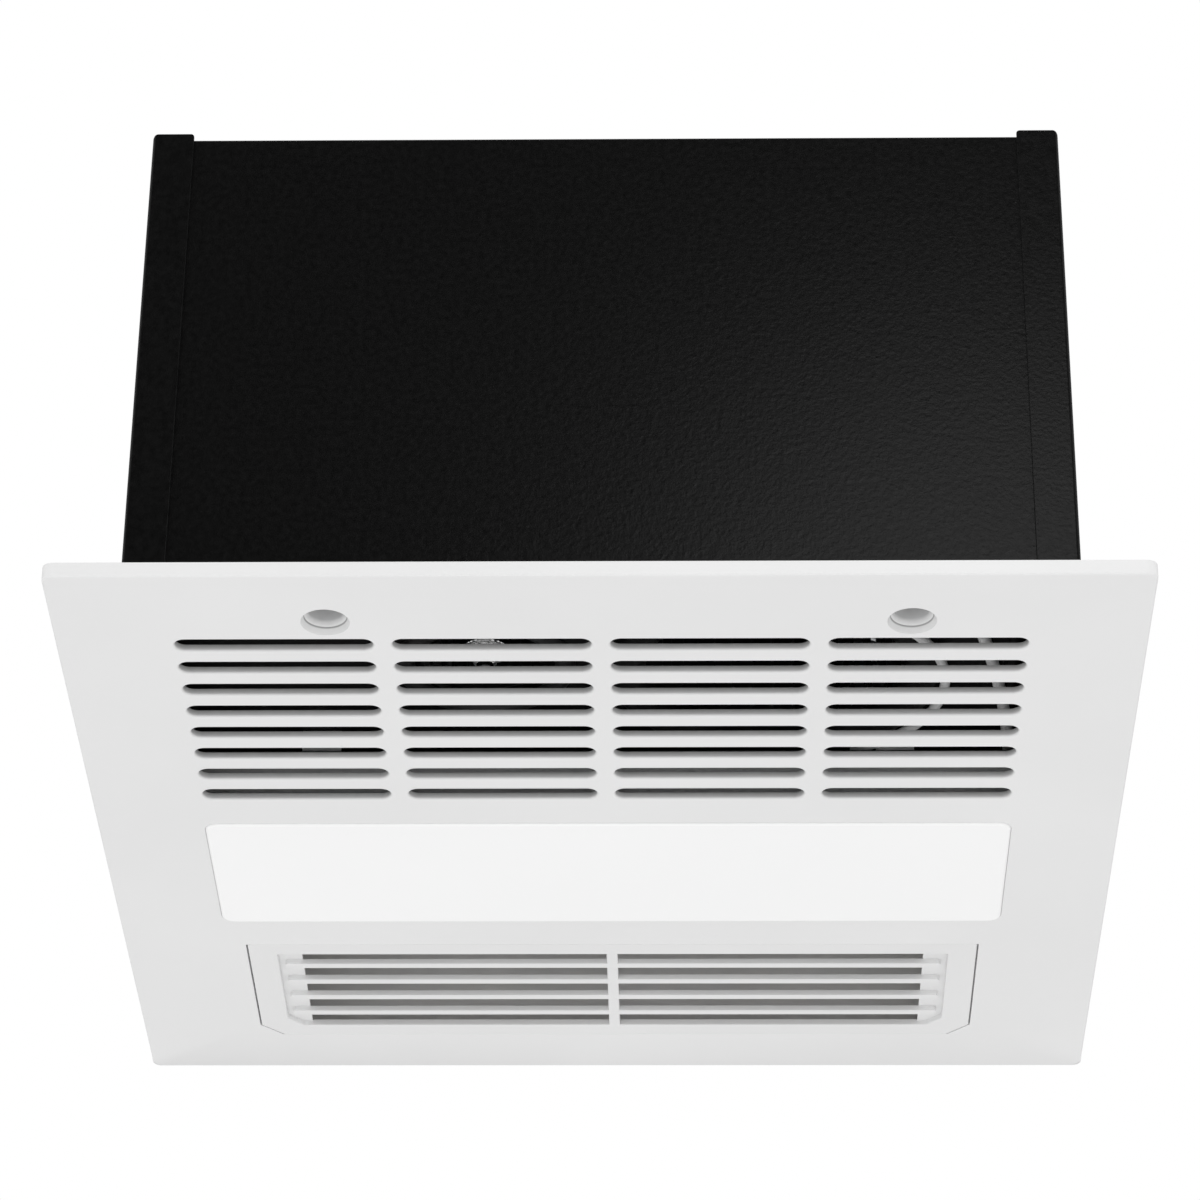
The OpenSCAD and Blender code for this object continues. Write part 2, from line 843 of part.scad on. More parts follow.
module strip_outline(height) {
    inner_r = strip_r * 0.6;
    intersection() {
        union() {
            translate([-box_w / 2, 0])
                square([strip_w, height - strip_r]);
            translate([-box_w / 2 + strip_r, 0])
                square([strip_w - strip_r - inner_r, height]);
            translate([-box_w / 2 + strip_r, height - strip_r])
                circle(strip_r);
            translate([-box_w / 2 + strip_w - inner_r, height - inner_r])
                circle(inner_r);
            translate([-box_w / 2 + strip_r, 0])
                square([strip_w - strip_r, height - inner_r]);
        }
        translate([-box_w / 2, 0])
            square([strip_w, height]);
    }
}

module left_shell() {
    intersection() {
        linear_extrude(box_h + strip_rise)
            difference() {
                rounded_rect(box_w, box_d, bend_r);
                rounded_rect(2 * wall_x, 2 * wrap_y, inner_bend_r);
            }
        union() {
            block([-box_w, -wrap_y + bend_r, 0], [-wall_x + eps, wrap_y - bend_r, box_h]);
            for (s = [-1, 1])
                along_y(s * (wrap_y - bend_r + sheet_t / 2) - (bend_r + sheet_t / 2), 2 * bend_r + sheet_t)
                    strip_outline(box_h + strip_rise);
        }
    }
}

module joist_holes() {
    for (y = [-joist_hole_y, joist_hole_y], z = [joist_low_z, joist_high_z])
        rod_x(-box_w, -wall_x + bend_r, y, z, joist_hole_d / 2);
}

module left_end_panel() {
    color([0.08, 0.08, 0.08])
        difference() {
            left_shell();
            joist_holes();
            rod_x(-box_w, -wall_x + bend_r, junction_y, junction_mid_z, knockout_d / 2);
        }
}

module right_end_panel() {
    color([0.08, 0.08, 0.08])
        mirror([1, 0, 0])
            difference() {
                left_shell();
                joist_holes();
            }
}

module mounting_flange() {
    leg_x = wall_x - sheet_t;
    leg_y = wall_y - sheet_t;
    color("lightgray")
        difference() {
            union() {
                translate([0, 0, -sheet_t])
                    linear_extrude(sheet_t)
                        difference() {
                            square([box_w + 2 * lip_w, box_d + 2 * lip_w], center = true);
                            square([2 * leg_x, 2 * leg_y], center = true);
                        }
                translate([0, 0, -sheet_t / 2])
                    linear_extrude(lip_leg + sheet_t / 2)
                        difference() {
                            square([2 * wall_x, 2 * wall_y], center = true);
                            square([2 * leg_x, 2 * leg_y], center = true);
                        }
            }
            boss_cuts();
            for (sx = [-1, 1], sy = [-1, 1])
                translate([sx * (box_w + lip_w) / 2, sy * ceiling_hole_y, -sheet_t - eps])
                    cylinder(d = ceiling_hole_d, h = sheet_t + 2 * eps);
        }
}

module hinge_knuckles() {
    color("silver")
        for (x = hinge_xs)
            difference() {
                union() {
                    block([x - knuckle_w / 2, box_d / 2 + lip_w - knuckle_lap, -2 * sheet_t],
                        [x + knuckle_w / 2, hinge_y, -sheet_t]);
                    rod_x(x - knuckle_w / 2, x + knuckle_w / 2, hinge_y, hinge_z, knuckle_r);
                }
                rod_x(x - knuckle_w, x + knuckle_w, hinge_y, hinge_z, hinge_pin_d / 2);
            }
}

module hinge_pins() {
    color("gray")
        for (x = hinge_xs)
            rod_x(x - barrel_from - barrel_l, x + barrel_from + barrel_l, hinge_y, hinge_z, hinge_pin_d / 2);
}

module screw_slots() {
    for (x = screw_xs)
        translate([x, screw_y, 0])
            linear_extrude(box_h)
                rotate(90)
                    stadium(2 * slot_reach, 2 * slot_r);
}

module screw_brackets() {
    color("silver")
        difference() {
            for (x = screw_xs) {
                block([x - bracket_w / 2, -wall_y, bracket_z],
                    [x + bracket_w / 2, -wall_y + bracket_reach, bracket_z + bracket_t]);
                block([x - bracket_w / 2, -wall_y, bracket_z],
                    [x + bracket_w / 2, -wall_y + bracket_leg_t, bracket_z + bracket_leg]);
            }
            screw_slots();
        }
}

module clip_nuts() {
    color("dimgray")
        difference() {
            for (x = screw_xs)
                block([x - slot_r - nut_side, -wall_y + bracket_leg_t, bracket_z + bracket_t],
                    [x + slot_r + nut_side, screw_y + slot_reach + nut_edge, bracket_z + bracket_t + nut_h]);
            screw_slots();
        }
}

// Pan-head screws: through the end panels' strips and the collar's plate
module housing_screws() {
    color("gray") {
        for (sx = [-1, 1], z = strip_screw_zs)
            rod_y(box_d / 2, box_d / 2 + pan_h, sx * (box_w - strip_w) / 2, z, pan_d / 2);
        for (sx = [-1, 1], sz = [-1, 1])
            rod_y(box_d / 2, box_d / 2 + pan_h,
                collar_x + sx * (collar_plate_w / 2 - pan_edge), collar_z + sz * (collar_plate_h / 2 - pan_edge),
                pan_d / 2);
    }
}

// Blower deck and inlet rings

module blower_deck() {
    color([0.1, 0.1, 0.1])
        difference() {
            union() {
                block([-wall_x, -wall_y, deck_z], [wall_x, plenum_near_y, deck_top]);
                for (s = [0, 1])
                    mirror([s, 0, 0])
                        block([wall_x - sheet_t, -wall_y, deck_z],
                            [wall_x, plenum_near_y, deck_top + deck_flange]);
                difference() {
                    rod_y(-wall_y, plenum_near_y, bead_x, deck_z, bead_r);
                    block([bead_x - 2 * bead_r, -box_d, deck_z + eps], [bead_x + 2 * bead_r, box_d, box_h]);
                }
            }
            translate([exhaust_x, exhaust_y, 0])
                cylinder(r = exhaust_inlet_r, h = box_h);
            translate([heater_x, heater_y, 0])
                cylinder(r = heater_inlet_r, h = box_h);
        }
}

// Half-round bell under the deck, outwards from the throat
module inlet_bell(throat_r, width) {
    half = width / 2;
    rotate_extrude($fn = 96)
        intersection() {
            translate([throat_r + half, 0])
                difference() {
                    circle(half);
                    circle(half - sheet_t);
                }
            translate([0, -width])
                square([throat_r + 2 * width, width]);
        }
}

module exhaust_inlet_ring() {
    color([0.3, 0.3, 0.3])
        translate([exhaust_x, exhaust_y, deck_z])
            inlet_bell(exhaust_inlet_r, exhaust_bell_w);
}

module heater_inlet_ring() {
    color([0.12, 0.12, 0.12])
        translate([heater_x, heater_y, deck_z])
            inlet_bell(heater_inlet_r, heater_bell_w);
}

// Scrolls

function spiral(r0, r1, first) = [
    for (i = [first : scroll_steps])
        let (a = tongue_angle + (360 - tongue_angle) * i / scroll_steps,
            r = r0 + (r1 - r0) * i / scroll_steps)
            [r * cos(a), r * sin(a)]
];

module scroll_air(r0, r1, end_y) {
    tongue_x = r0 * cos(tongue_angle);
    polygon(concat(spiral(r0, r1, 0), [[r1, end_y], [tongue_x, end_y]]));
}

module scroll_outside(r0, r1, end_y) {
    tongue_x = r0 * cos(tongue_angle) - sheet_t;
    tongue_y = (r0 + sheet_t) * sin(tongue_angle);
    polygon(concat(
        [[tongue_x, tongue_y]], spiral(r0 + sheet_t, r1 + sheet_t, 1),
        [[r1 + sheet_t, end_y], [tongue_x, end_y]]
    ));
}

module scroll_housing(r0, r1, end_y, height, bore_r) {
    difference() {
        linear_extrude(height + sheet_t)
            scroll_outside(r0, r1, end_y);
        translate([0, 0, -eps])
            linear_extrude(height + eps)
                scroll_air(r0, r1, end_y + 1);
        cylinder(r = bore_r, h = 2 * height);
    }
}

module exhaust_scroll() {
    color([0.12, 0.12, 0.12])
        translate([exhaust_x, exhaust_y, deck_top])
            scroll_housing(exhaust_scroll_r0, exhaust_scroll_r1, exhaust_outlet_y - exhaust_y,
                exhaust_scroll_h, shaft_d);
}

module heater_scroll() {
    color([0.14, 0.14, 0.14])
        translate([heater_x, heater_y, deck_top])
            mirror([1, 0, 0])
                scroll_housing(heater_scroll_r0, heater_scroll_r1, heater_outlet_y - heater_y,
                    heater_scroll_h, shaft_d);
}

// Wheels

function blade_side(r, depth, side) = [
    for (i = [0 : blade_steps])
        let (s = i / blade_steps, rr = r - depth + depth * s, a = blade_sweep * s * s)
            [rr * cos(a) - side * blade_t / 2 * sin(a), rr * sin(a) + side * blade_t / 2 * cos(a)]
];

module wheel_blade(r, depth) {
    near_side = blade_side(r, depth, -1);
    far_side = blade_side(r, depth, 1);
    polygon(concat(near_side, [for (i = [blade_steps : -1 : 0]) far_side[i]]));
}

// Blades standing between the inlet rim and the hub's plate
module blade_ring(r, h, blades, depth) {
    for (i = [0 : blades - 1])
        rotate([0, 0, 360 * i / blades])
            translate([0, 0, wheel_rim_h])
                linear_extrude(h - back_plate_t - wheel_rim_h)
                    wheel_blade(r - wheel_rim_w / 4, depth);
}

module wheel_rim(r) {
    difference() {
        cylinder(r = r, h = wheel_rim_h);
        translate([0, 0, -eps])
            cylinder(r = r - wheel_rim_w, h = wheel_rim_h + 2 * eps);
    }
}

module wheel_hub(r, h, hub_from) {
    difference() {
        union() {
            translate([0, 0, h - back_plate_t])
                cylinder(r = r, h = back_plate_t);
            translate([0, 0, hub_from])
                cylinder(r = shaft_d / 2 + hub_wall, h = h - hub_from);
        }
        translate([0, 0, -h])
            cylinder(d = shaft_d, h = 3 * h);
    }
}

module exhaust_impeller() {
    color([0.2, 0.2, 0.2])
        translate([exhaust_x, exhaust_y, deck_top + wheel_gap])
            blade_ring(exhaust_r, exhaust_h, exhaust_blades, exhaust_blade_depth);
}

module exhaust_wheel_rim() {
    color([0.22, 0.22, 0.22])
        translate([exhaust_x, exhaust_y, deck_top + wheel_gap])
            wheel_rim(exhaust_r);
}

module exhaust_wheel_hub() {
    color([0.25, 0.25, 0.25])
        translate([exhaust_x, exhaust_y, deck_top + wheel_gap])
            wheel_hub(exhaust_r, exhaust_h, exhaust_h - hub_h);
}

module heater_impeller() {
    color([0.2, 0.2, 0.2])
        translate([heater_x, heater_y, deck_top + wheel_gap])
            mirror([1, 0, 0])
                blade_ring(heater_r, heater_h, heater_blades, heater_blade_depth);
}

module heater_wheel_rim() {
    color([0.22, 0.22, 0.22])
        translate([heater_x, heater_y, deck_top + wheel_gap])
            wheel_rim(heater_r);
}

// The heater wheel's hub reaches down to the shiny nut in the inlet
module heater_wheel_hub() {
    color([0.25, 0.25, 0.25])
        translate([heater_x, heater_y, deck_top + wheel_gap])
            wheel_hub(heater_r, heater_h, nut_z + nut_height - deck_top - wheel_gap);
}

module exhaust_shaft() {
    bottom = deck_top + wheel_gap + exhaust_h - hub_h - shaft_tail;
    color("silver")
        translate([exhaust_x, exhaust_y, bottom])
            cylinder(d = shaft_d, h = exhaust_top + sheet_t + exhaust_motor_h - shaft_end_gap - bottom);
}

module heater_shaft() {
    color("silver")
        translate([heater_x, heater_y, nut_z])
            cylinder(d = shaft_d, h = heater_top + sheet_t + heater_motor_h - shaft_end_gap - nut_z);
}

// Flanged nut with a domed end, on the heater shaft
module heater_shaft_nut() {
    barrel_d = shaft_nut_d - 2 * nut_step;
    color("gainsboro")
        translate([heater_x, heater_y, nut_z])
            difference() {
                union() {
                    translate([0, 0, nut_height - nut_flange_h])
                        cylinder(d = shaft_nut_d, h = nut_flange_h);
                    translate([0, 0, nut_step])
                        cylinder(d = barrel_d, h = nut_height - nut_step);
                    cylinder(d1 = barrel_d - 2 * nut_step, d2 = barrel_d, h = nut_step);
                }
                translate([0, 0, -eps])
                    cylinder(d = shaft_d, h = nut_height + 2 * eps);
            }
}

// Motors: a can with an end bell, on ears bolted to the scroll's top

module motor_ears(r) {
    for (a = [30, 150, 270])
        rotate([0, 0, a])
            translate([r + motor_ear_r - 1, 0, 0])
                children();
}

module motor(r, h) {
    bell_h = h / 5;
    difference() {
        union() {
            cylinder(r = r, h = h - bell_h);
            translate([0, 0, h - bell_h])
                cylinder(r1 = r - 1, r2 = r - bell_step, h = bell_h);
            motor_ears(r)
                cylinder(r = motor_ear_r, h = motor_ear_t);
        }
        translate([0, 0, -eps])
            cylinder(r = shaft_d / 2 + shaft_fit, h = h - shaft_end_gap + 1);
        motor_ears(r)
            translate([0, 0, -eps])
                cylinder(d = stud_d, h = motor_ear_t + 2 * eps);
        for (i = [0 : vent_count - 1])
            rotate([0, 0, 360 * i / vent_count])
                translate([r - vent_depth, -vent_w / 2, h / 4])
                    cube([2 * vent_depth, vent_w, h / 3]);
    }
}

module exhaust_motor() {
    color("dimgray")
        translate([exhaust_x, exhaust_y, exhaust_top + sheet_t])
            motor(exhaust_motor_r, exhaust_motor_h);
}

module heater_motor() {
    color("dimgray")
        translate([heater_x, heater_y, heater_top + sheet_t])
            motor(heater_motor_r, heater_motor_h);
}

module motor_fixings(r) {
    motor_ears(r) {
        cylinder(d = stud_d, h = motor_ear_t + motor_nut_h + stud_rise);
        translate([0, 0, motor_ear_t])
            cylinder(d = motor_nut_d, h = motor_nut_h, $fn = 6);
    }
}

module motor_nuts() {
    color("silver") {
        translate([exhaust_x, exhaust_y, exhaust_top + sheet_t])
            motor_fixings(exhaust_motor_r);
        translate([heater_x, heater_y, heater_top + sheet_t])
            motor_fixings(heater_motor_r);
    }
}

// Ducts

module duct_side(inset) {
    slope = inset * duct_slope;
    polygon([
        [exhaust_outlet_y, deck_top + inset], [exhaust_outlet_y + duct_foot - slope, deck_top + inset],
        [plenum_near_y - slope, plenum_h + inset], [wall_y, plenum_h + inset],
        [wall_y, duct_top - inset], [duct_crown_y + slope, duct_top - inset],
        [exhaust_outlet_y + duct_shoulder + slope, exhaust_top + sheet_t - inset],
        [exhaust_outlet_y, exhaust_top + sheet_t - inset]
    ]);
}

// Rises from the scroll's outlet over the plenum to the collar
module exhaust_duct() {
    color("silver")
        difference() {
            along_x(collar_x - duct_w / 2 - sheet_t, duct_w + 2 * sheet_t)
                duct_side(0);
            intersection() {
                along_x(collar_x - duct_w / 2, duct_w)
                    duct_side(sheet_t);
                block([-box_w, exhaust_outlet_y + sheet_t, 0], [box_w, wall_y - eps, box_h]);
            }
            block([exhaust_outlet_x0, exhaust_outlet_y - 1, deck_top + sheet_t],
                [exhaust_outlet_x1, exhaust_outlet_y + 2 * sheet_t, exhaust_top]);
            block([collar_x - duct_w / 2, wall_y - sheet_t, plenum_h + sheet_t],
                [collar_x + duct_w / 2, wall_y + 1, duct_top - sheet_t]);
        }
}

module duct_collar() {
    plate_low = [collar_x - collar_plate_w / 2, wrap_y, collar_z - collar_plate_h / 2];
    plate_high = [collar_x + collar_plate_w / 2, box_d / 2, collar_z + collar_plate_h / 2];
    color("lightgray")
        difference() {
            union() {
                difference() {
                    union() {
                        block(plate_low, plate_high);
                        rod_y(wrap_y, box_d / 2 + collar_l, collar_x, collar_z, collar_r);
                    }
                    rod_y(0, box_d, collar_x, collar_z, collar_bore_r);
                }
                collar_seat();
            }
            rod_x(collar_x - collar_d, collar_x + collar_d, damper_y, damper_z, damper_pin_d / 2);
        }
}

// Half ring that the closed flap rests against, below the pin
module collar_seat() {
    seat_y = damper_y + flap_offset - seat_gap - seat_t;
    intersection() {
        difference() {
            rod_y(seat_y, seat_y + seat_t, collar_x, collar_z, collar_bore_r + collar_t / 2);
            rod_y(seat_y - 1, seat_y + seat_t + 1, collar_x, collar_z, flap_r - seat_w);
        }
        block([collar_x - collar_d, 0, 0], [collar_x + collar_d, box_d, damper_z - seat_drop]);
    }
}

// The pin ends inside the collar's wall
module damper_pin() {
    reach = sqrt(pow(collar_r, 2) - pow(damper_rise + damper_pin_d / 2, 2));
    color("silver")
        rod_x(collar_x - reach, collar_x + reach, damper_y, damper_z, damper_pin_d / 2);
}

module damper_flap() {
    color("gainsboro")
        difference() {
            union() {
                rod_y(damper_y + flap_offset, damper_y + flap_offset + flap_t, collar_x, collar_z, flap_r);
                for (s = [-1, 1])
                    rod_x(collar_x + s * damper_barrel_x - damper_barrel_l / 2,
                        collar_x + s * damper_barrel_x + damper_barrel_l / 2,
                        damper_y, damper_z, damper_barrel_d / 2);
            }
            rod_x(collar_x - collar_d, collar_x + collar_d, damper_y, damper_z, damper_pin_d / 2 + damper_fit);
        }
}

module heater_duct() {
    color("silver")
        difference() {
            block([heater_outlet_x0 - sheet_t, heater_outlet_y, deck_top],
                [heater_outlet_x1 + sheet_t, plenum_near_y, heater_top + sheet_t]);
            block([heater_outlet_x0, heater_outlet_y - 1, deck_top + sheet_t],
                [heater_outlet_x1, plenum_near_y + 1, heater_top]);
        }
}

// Warm-air plenum and heating core

module warm_plenum() {
    color("silver")
        difference() {
            block([-plenum_x, plenum_near_y, 0], [plenum_x, plenum_far_y, plenum_h]);
            block([-plenum_x + sheet_t, plenum_near_y + sheet_t, -1],
                [plenum_x - sheet_t, plenum_far_y - sheet_t, plenum_h - sheet_t]);
            block([heater_outlet_x0, plenum_near_y - 1, deck_top + sheet_t],
                [heater_outlet_x1, plenum_near_y + 2 * sheet_t, heater_top]);
        }
}

function bar_y(i) = core_y + (i - (bar_count - 1) / 2) * bar_pitch;

module heating_bars() {
    color("tan")
        for (i = [0 : bar_count - 1])
            block([-core_x, bar_y(i) - bar_t / 2, core_z], [core_x, bar_y(i) + bar_t / 2, core_z + core_h]);
}

// Fins in the gaps between the bars, and outside the outer ones
module heating_fins() {
    fin_count = floor(2 * (core_x - fin_end_gap) / fin_pitch);
    color("silver")
        for (i = [0 : bar_count], k = [0 : fin_count - 1]) {
            x = (k - (fin_count - 1) / 2) * fin_pitch;
            low_y = i == 0 ? core_y - core_w / 2 : bar_y(i - 1) + bar_t / 2;
            high_y = i == bar_count ? core_y + core_w / 2 : bar_y(i) - bar_t / 2;
            block([x - fin_t / 2, low_y, core_z + fin_drop], [x + fin_t / 2, high_y, core_z + core_h - fin_drop]);
        }
}

// End plates that carry the bars between the plenum's side walls
module core_brackets() {
    color("beige")
        for (s = [0, 1])
            mirror([s, 0, 0]) {
                block([core_x, core_y - core_w / 2, core_z - bracket_lip],
                    [core_x + bracket_t, core_y + core_w / 2, core_z + core_h + bracket_lip]);
                block([core_x, core_y - core_w / 2, core_z - bracket_lip - bracket_t],
                    [plenum_x - sheet_t, core_y + core_w / 2, core_z - bracket_lip]);
            }
}

module wire_guard() {
    r = guard_wire_d / 2;
    rows = floor((plenum_depth - 2 * guard_side_gap) / guard_pitch);
    stay_pitch = 2 * (plenum_x - sheet_t) / (guard_stays + 1);
    color("silver") {
        for (i = [0 : rows - 1])
            rod_x(-plenum_x + sheet_t, plenum_x - sheet_t,
                core_y + (i - (rows - 1) / 2) * guard_pitch, guard_z, r);
        for (i = [0 : guard_stays - 1])
            rod_y(plenum_near_y + sheet_t, plenum_far_y - sheet_t,
                (i - (guard_stays - 1) / 2) * stay_pitch, guard_z + guard_wire_d * 0.8, r);
    }
}

// Round thermostat on an eared plate, on the plenum's right wall
module thermal_cutout() {
    x = plenum_x - sheet_t;
    color("dimgray") {
        block([x - cutout_plate_t, core_y - cutout_ear / 2, cutout_z - cutout_plate_h / 2],
            [x, core_y + cutout_ear / 2, cutout_z + cutout_plate_h / 2]);
        rod_x(x - cutout_h, x - cutout_plate_t / 2, core_y, cutout_z, cutout_d / 2);
        for (s = [-1, 1])
            block([x - cutout_h - tab_l, core_y + s * tab_y - tab_t / 2, cutout_z - tab_t],
                [x - cutout_h + eps, core_y + s * tab_y + tab_t / 2, cutout_z + tab_t]);
    }
}

// Light

module light_tray() {
    inner_x = tray_x - sheet_t;
    inner_w = tray_w - 2 * sheet_t;
    color("gray")
        difference() {
            union() {
                block([-tray_x, lens_y - tray_w / 2, tray_rim_z], [tray_x, lens_y + tray_w / 2, tray_h]);
                for (x = [-lug_x, lug_x], s = [0, 1])
                    translate([x, lens_y, 0])
                        mirror([0, s, 0]) {
                            block([-lug_w / 2, tray_w / 2 - sheet_t, tray_h - sheet_t / 2],
                                [lug_w / 2, tray_w / 2, deck_z]);
                            block([-lug_w / 2, tray_w / 2 - lug_reach, deck_z - sheet_t],
                                [lug_w / 2, tray_w / 2, deck_z]);
                        }
            }
            block([-inner_x, lens_y - inner_w / 2, tray_rim_z - 1],
                [inner_x, lens_y + inner_w / 2, tray_h - sheet_t]);
            translate([exhaust_x, exhaust_y, tray_h + eps])
                cylinder(r = exhaust_inlet_r + exhaust_bell_w + lug_gap, h = deck_z);
        }
}

module light_board() {
    color("white")
        block([-tray_x + board_edge, lens_y - tray_w / 2 + board_side, tray_h - sheet_t - board_t],
            [tray_x - board_edge, lens_y + tray_w / 2 - board_side, tray_h - sheet_t]);
}

module light_emitters() {
    top = tray_h - sheet_t - board_t;
    pitch = 2 * (tray_x - board_edge) / emitter_cols;
    color("khaki")
        for (i = [0 : emitter_cols - 1], s = [-1, 1])
            translate([(i - (emitter_cols - 1) / 2) * pitch, lens_y + s * (tray_w / 2 - emitter_side),
                top - emitter_h / 2])
                cube([emitter_w, emitter_w, emitter_h], center = true);
}

module light_driver() {
    color("gainsboro")
        union() {
            block([driver_x0 + driver_ear, driver_y - driver_w / 2, deck_top],
                [driver_x1 - driver_ear, driver_y + driver_w / 2, deck_top + driver_h]);
            block([driver_x0, driver_y - driver_w / 4, deck_top],
                [driver_x1, driver_y + driver_w / 4, deck_top + driver_ear_t]);
        }
}

// Wiring: the junction box is open to the left end panel and closed by a cover inside

module junction_box() {
    low = [-wall_x, junction_y - junction_l / 2, junction_z];
    high = [-wall_x + junction_w, junction_y + junction_l / 2, junction_z + junction_h];
    color("silver")
        difference() {
            block(low, high);
            block(low + [-1, sheet_t, sheet_t], high + [1, -sheet_t, -sheet_t]);
        }
}

module junction_cover() {
    x = -wall_x + junction_w;
    color("lightgray")
        union() {
            block([x, junction_y - junction_l / 2, junction_z],
                [x + cover_t, junction_y + junction_l / 2, junction_z + junction_h]);
            block([x - cover_lap, junction_y - junction_l / 2 + sheet_t, junction_z + sheet_t],
                [x + eps, junction_y + junction_l / 2 - sheet_t, junction_z + 2 * sheet_t]);
            rod_x(x + cover_t, x + cover_t + pan_h, junction_y, junction_z + junction_h - cover_screw_drop, pan_d / 2);
        }
}

// Lock ring in the knock-out with a screwed bar that grips the supply cable
module cable_clamp() {
    x = -wall_x;
    bar_drop = clamp_lock_r - clamp_bar_drop;
    color("silver")
        difference() {
            union() {
                rod_x(x, x + clamp_lock_t, junction_y, junction_mid_z, clamp_lock_r);
                for (s = [-1, 1])
                    block([x, junction_y - clamp_lock_r, junction_mid_z + s * bar_drop - clamp_bar_h / 2],
                        [x + clamp_reach, junction_y + clamp_lock_r,
                            junction_mid_z + s * bar_drop + clamp_bar_h / 2]);
            }
            rod_x(x - 1, x + clamp_reach + 1, junction_y, junction_mid_z, knockout_d / 2);
        }
}

module terminal_block() {
    low = [-wall_x + terminal_wall_gap, junction_y - terminal_l / 2, junction_z + sheet_t];
    pitch = terminal_l / terminal_poles;
    color("ivory")
        difference() {
            block(low, low + [terminal_w, terminal_l, terminal_h]);
            for (i = [0 : terminal_poles - 1])
                translate(low + [terminal_w / 2, (i + 0.5) * pitch, terminal_h - terminal_hole_h])
                    cylinder(d = terminal_hole_d, h = terminal_hole_h + 1);
        }
}

module run_capacitor() {
    color("lightgray")
        translate([capacitor_x, capacitor_y, deck_top]) {
            cylinder(d = capacitor_d, h = capacitor_h);
            for (s = [-1, 1])
                translate([s * blade_x - lead_t / 2, -lead_w / 2, capacitor_h - eps])
                    cube([lead_t, lead_w, lead_h]);
        }
}

// Band round the capacitor with a foot on the front wall
module capacitor_strap() {
    r = capacitor_d / 2;
    color("silver")
        translate([capacitor_x, capacitor_y, strap_z - strap_h / 2])
            difference() {
                union() {
                    cylinder(r = r + strap_t, h = strap_h);
                    block([-r, -wall_y - capacitor_y, 0], [r, -wall_y - capacitor_y + strap_t, strap_h]);
                    block([-strap_t, -wall_y - capacitor_y, 0], [strap_t, -r, strap_h]);
                }
                translate([0, 0, -eps])
                    cylinder(r = r, h = strap_h + 2 * eps);
            }
}

face_panel();
warm_louvre();
diffuser_lens();
lens_retainers();
panel_screws();
housing_wrap();
left_end_panel();
right_end_panel();
mounting_flange();
hinge_knuckles();
hinge_pins();
screw_brackets();
clip_nuts();
housing_screws();
blower_deck();
exhaust_inlet_ring();
exhaust_scroll();
exhaust_impeller();
exhaust_wheel_rim();
exhaust_wheel_hub();
exhaust_shaft();
exhaust_motor();
exhaust_duct();
duct_collar();
damper_flap();
damper_pin();
heater_inlet_ring();
heater_scroll();
heater_impeller();
heater_wheel_rim();
heater_wheel_hub();
heater_shaft();
heater_shaft_nut();
heater_motor();
heater_duct();
motor_nuts();
warm_plenum();
heating_bars();
heating_fins();
core_brackets();
wire_guard();
thermal_cutout();
light_tray();
light_board();
light_emitters();
light_driver();
junction_box();
junction_cover();
cable_clamp();
terminal_block();
run_capacitor();
capacitor_strap();
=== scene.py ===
import math

import bmesh
import bpy
from mathutils import Matrix, Vector


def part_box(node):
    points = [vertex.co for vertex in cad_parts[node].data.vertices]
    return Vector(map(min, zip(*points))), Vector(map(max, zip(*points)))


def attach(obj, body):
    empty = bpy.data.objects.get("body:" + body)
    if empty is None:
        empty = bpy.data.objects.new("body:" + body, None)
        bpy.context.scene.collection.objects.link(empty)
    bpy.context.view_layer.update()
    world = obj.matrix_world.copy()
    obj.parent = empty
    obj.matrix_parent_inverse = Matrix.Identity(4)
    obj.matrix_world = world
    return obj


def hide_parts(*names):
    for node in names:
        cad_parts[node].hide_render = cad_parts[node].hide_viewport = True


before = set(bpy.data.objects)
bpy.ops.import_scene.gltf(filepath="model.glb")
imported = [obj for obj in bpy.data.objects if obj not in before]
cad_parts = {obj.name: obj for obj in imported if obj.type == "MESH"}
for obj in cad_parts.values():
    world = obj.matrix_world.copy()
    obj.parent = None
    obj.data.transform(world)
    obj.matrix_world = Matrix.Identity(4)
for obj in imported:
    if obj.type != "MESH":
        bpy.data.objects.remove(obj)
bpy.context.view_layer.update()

mm = 0.001


# Studio: the camera looks up at the unit from in front of it and below it, as a person in the room does.
# The backdrop is white and a pale floor lies far below, because the unit hangs in a ceiling. The pale room
# gives most of the light. One soft lamp shines up from it, and one shines at the box from above, in front.
def new_object(name, data):
    made = bpy.data.objects.new(name, data)
    bpy.context.scene.collection.objects.link(made)
    return made


def place_camera(position, yaw, pitch, roll, lens):
    forward = Vector((math.sin(yaw) * math.cos(pitch), math.cos(yaw) * math.cos(pitch), math.sin(pitch)))
    right = Vector((math.cos(yaw), -math.sin(yaw), 0))
    up = right.cross(forward)
    rolled_right = right * math.cos(roll) - up * math.sin(roll)
    rolled_up = up * math.cos(roll) + right * math.sin(roll)
    camera = new_object("camera", bpy.data.cameras.new("camera"))
    camera.matrix_world = Matrix.Translation(position) @ Matrix(
        (rolled_right, rolled_up, -forward)).transposed().to_4x4()
    camera.data.lens = lens
    camera.data.sensor_width = 36
    camera.data.clip_start = 0.05
    bpy.context.scene.camera = camera


place_camera(
    position=Vector((34.15, -1582.80, -867.67)) * mm,
    yaw=math.radians(-1.386), pitch=math.radians(31.612), roll=math.radians(-0.582), lens=136.86)


def soft_light(name, position, target, size, watts):
    light = new_object(name, bpy.data.lights.new(name, "AREA"))
    light.data.shape = "DISK"
    light.data.size = size
    light.data.energy = watts
    light.location = position
    light.rotation_euler = (Vector(target) - Vector(position)).to_track_quat("-Z", "Y").to_euler()
    light.visible_camera = False


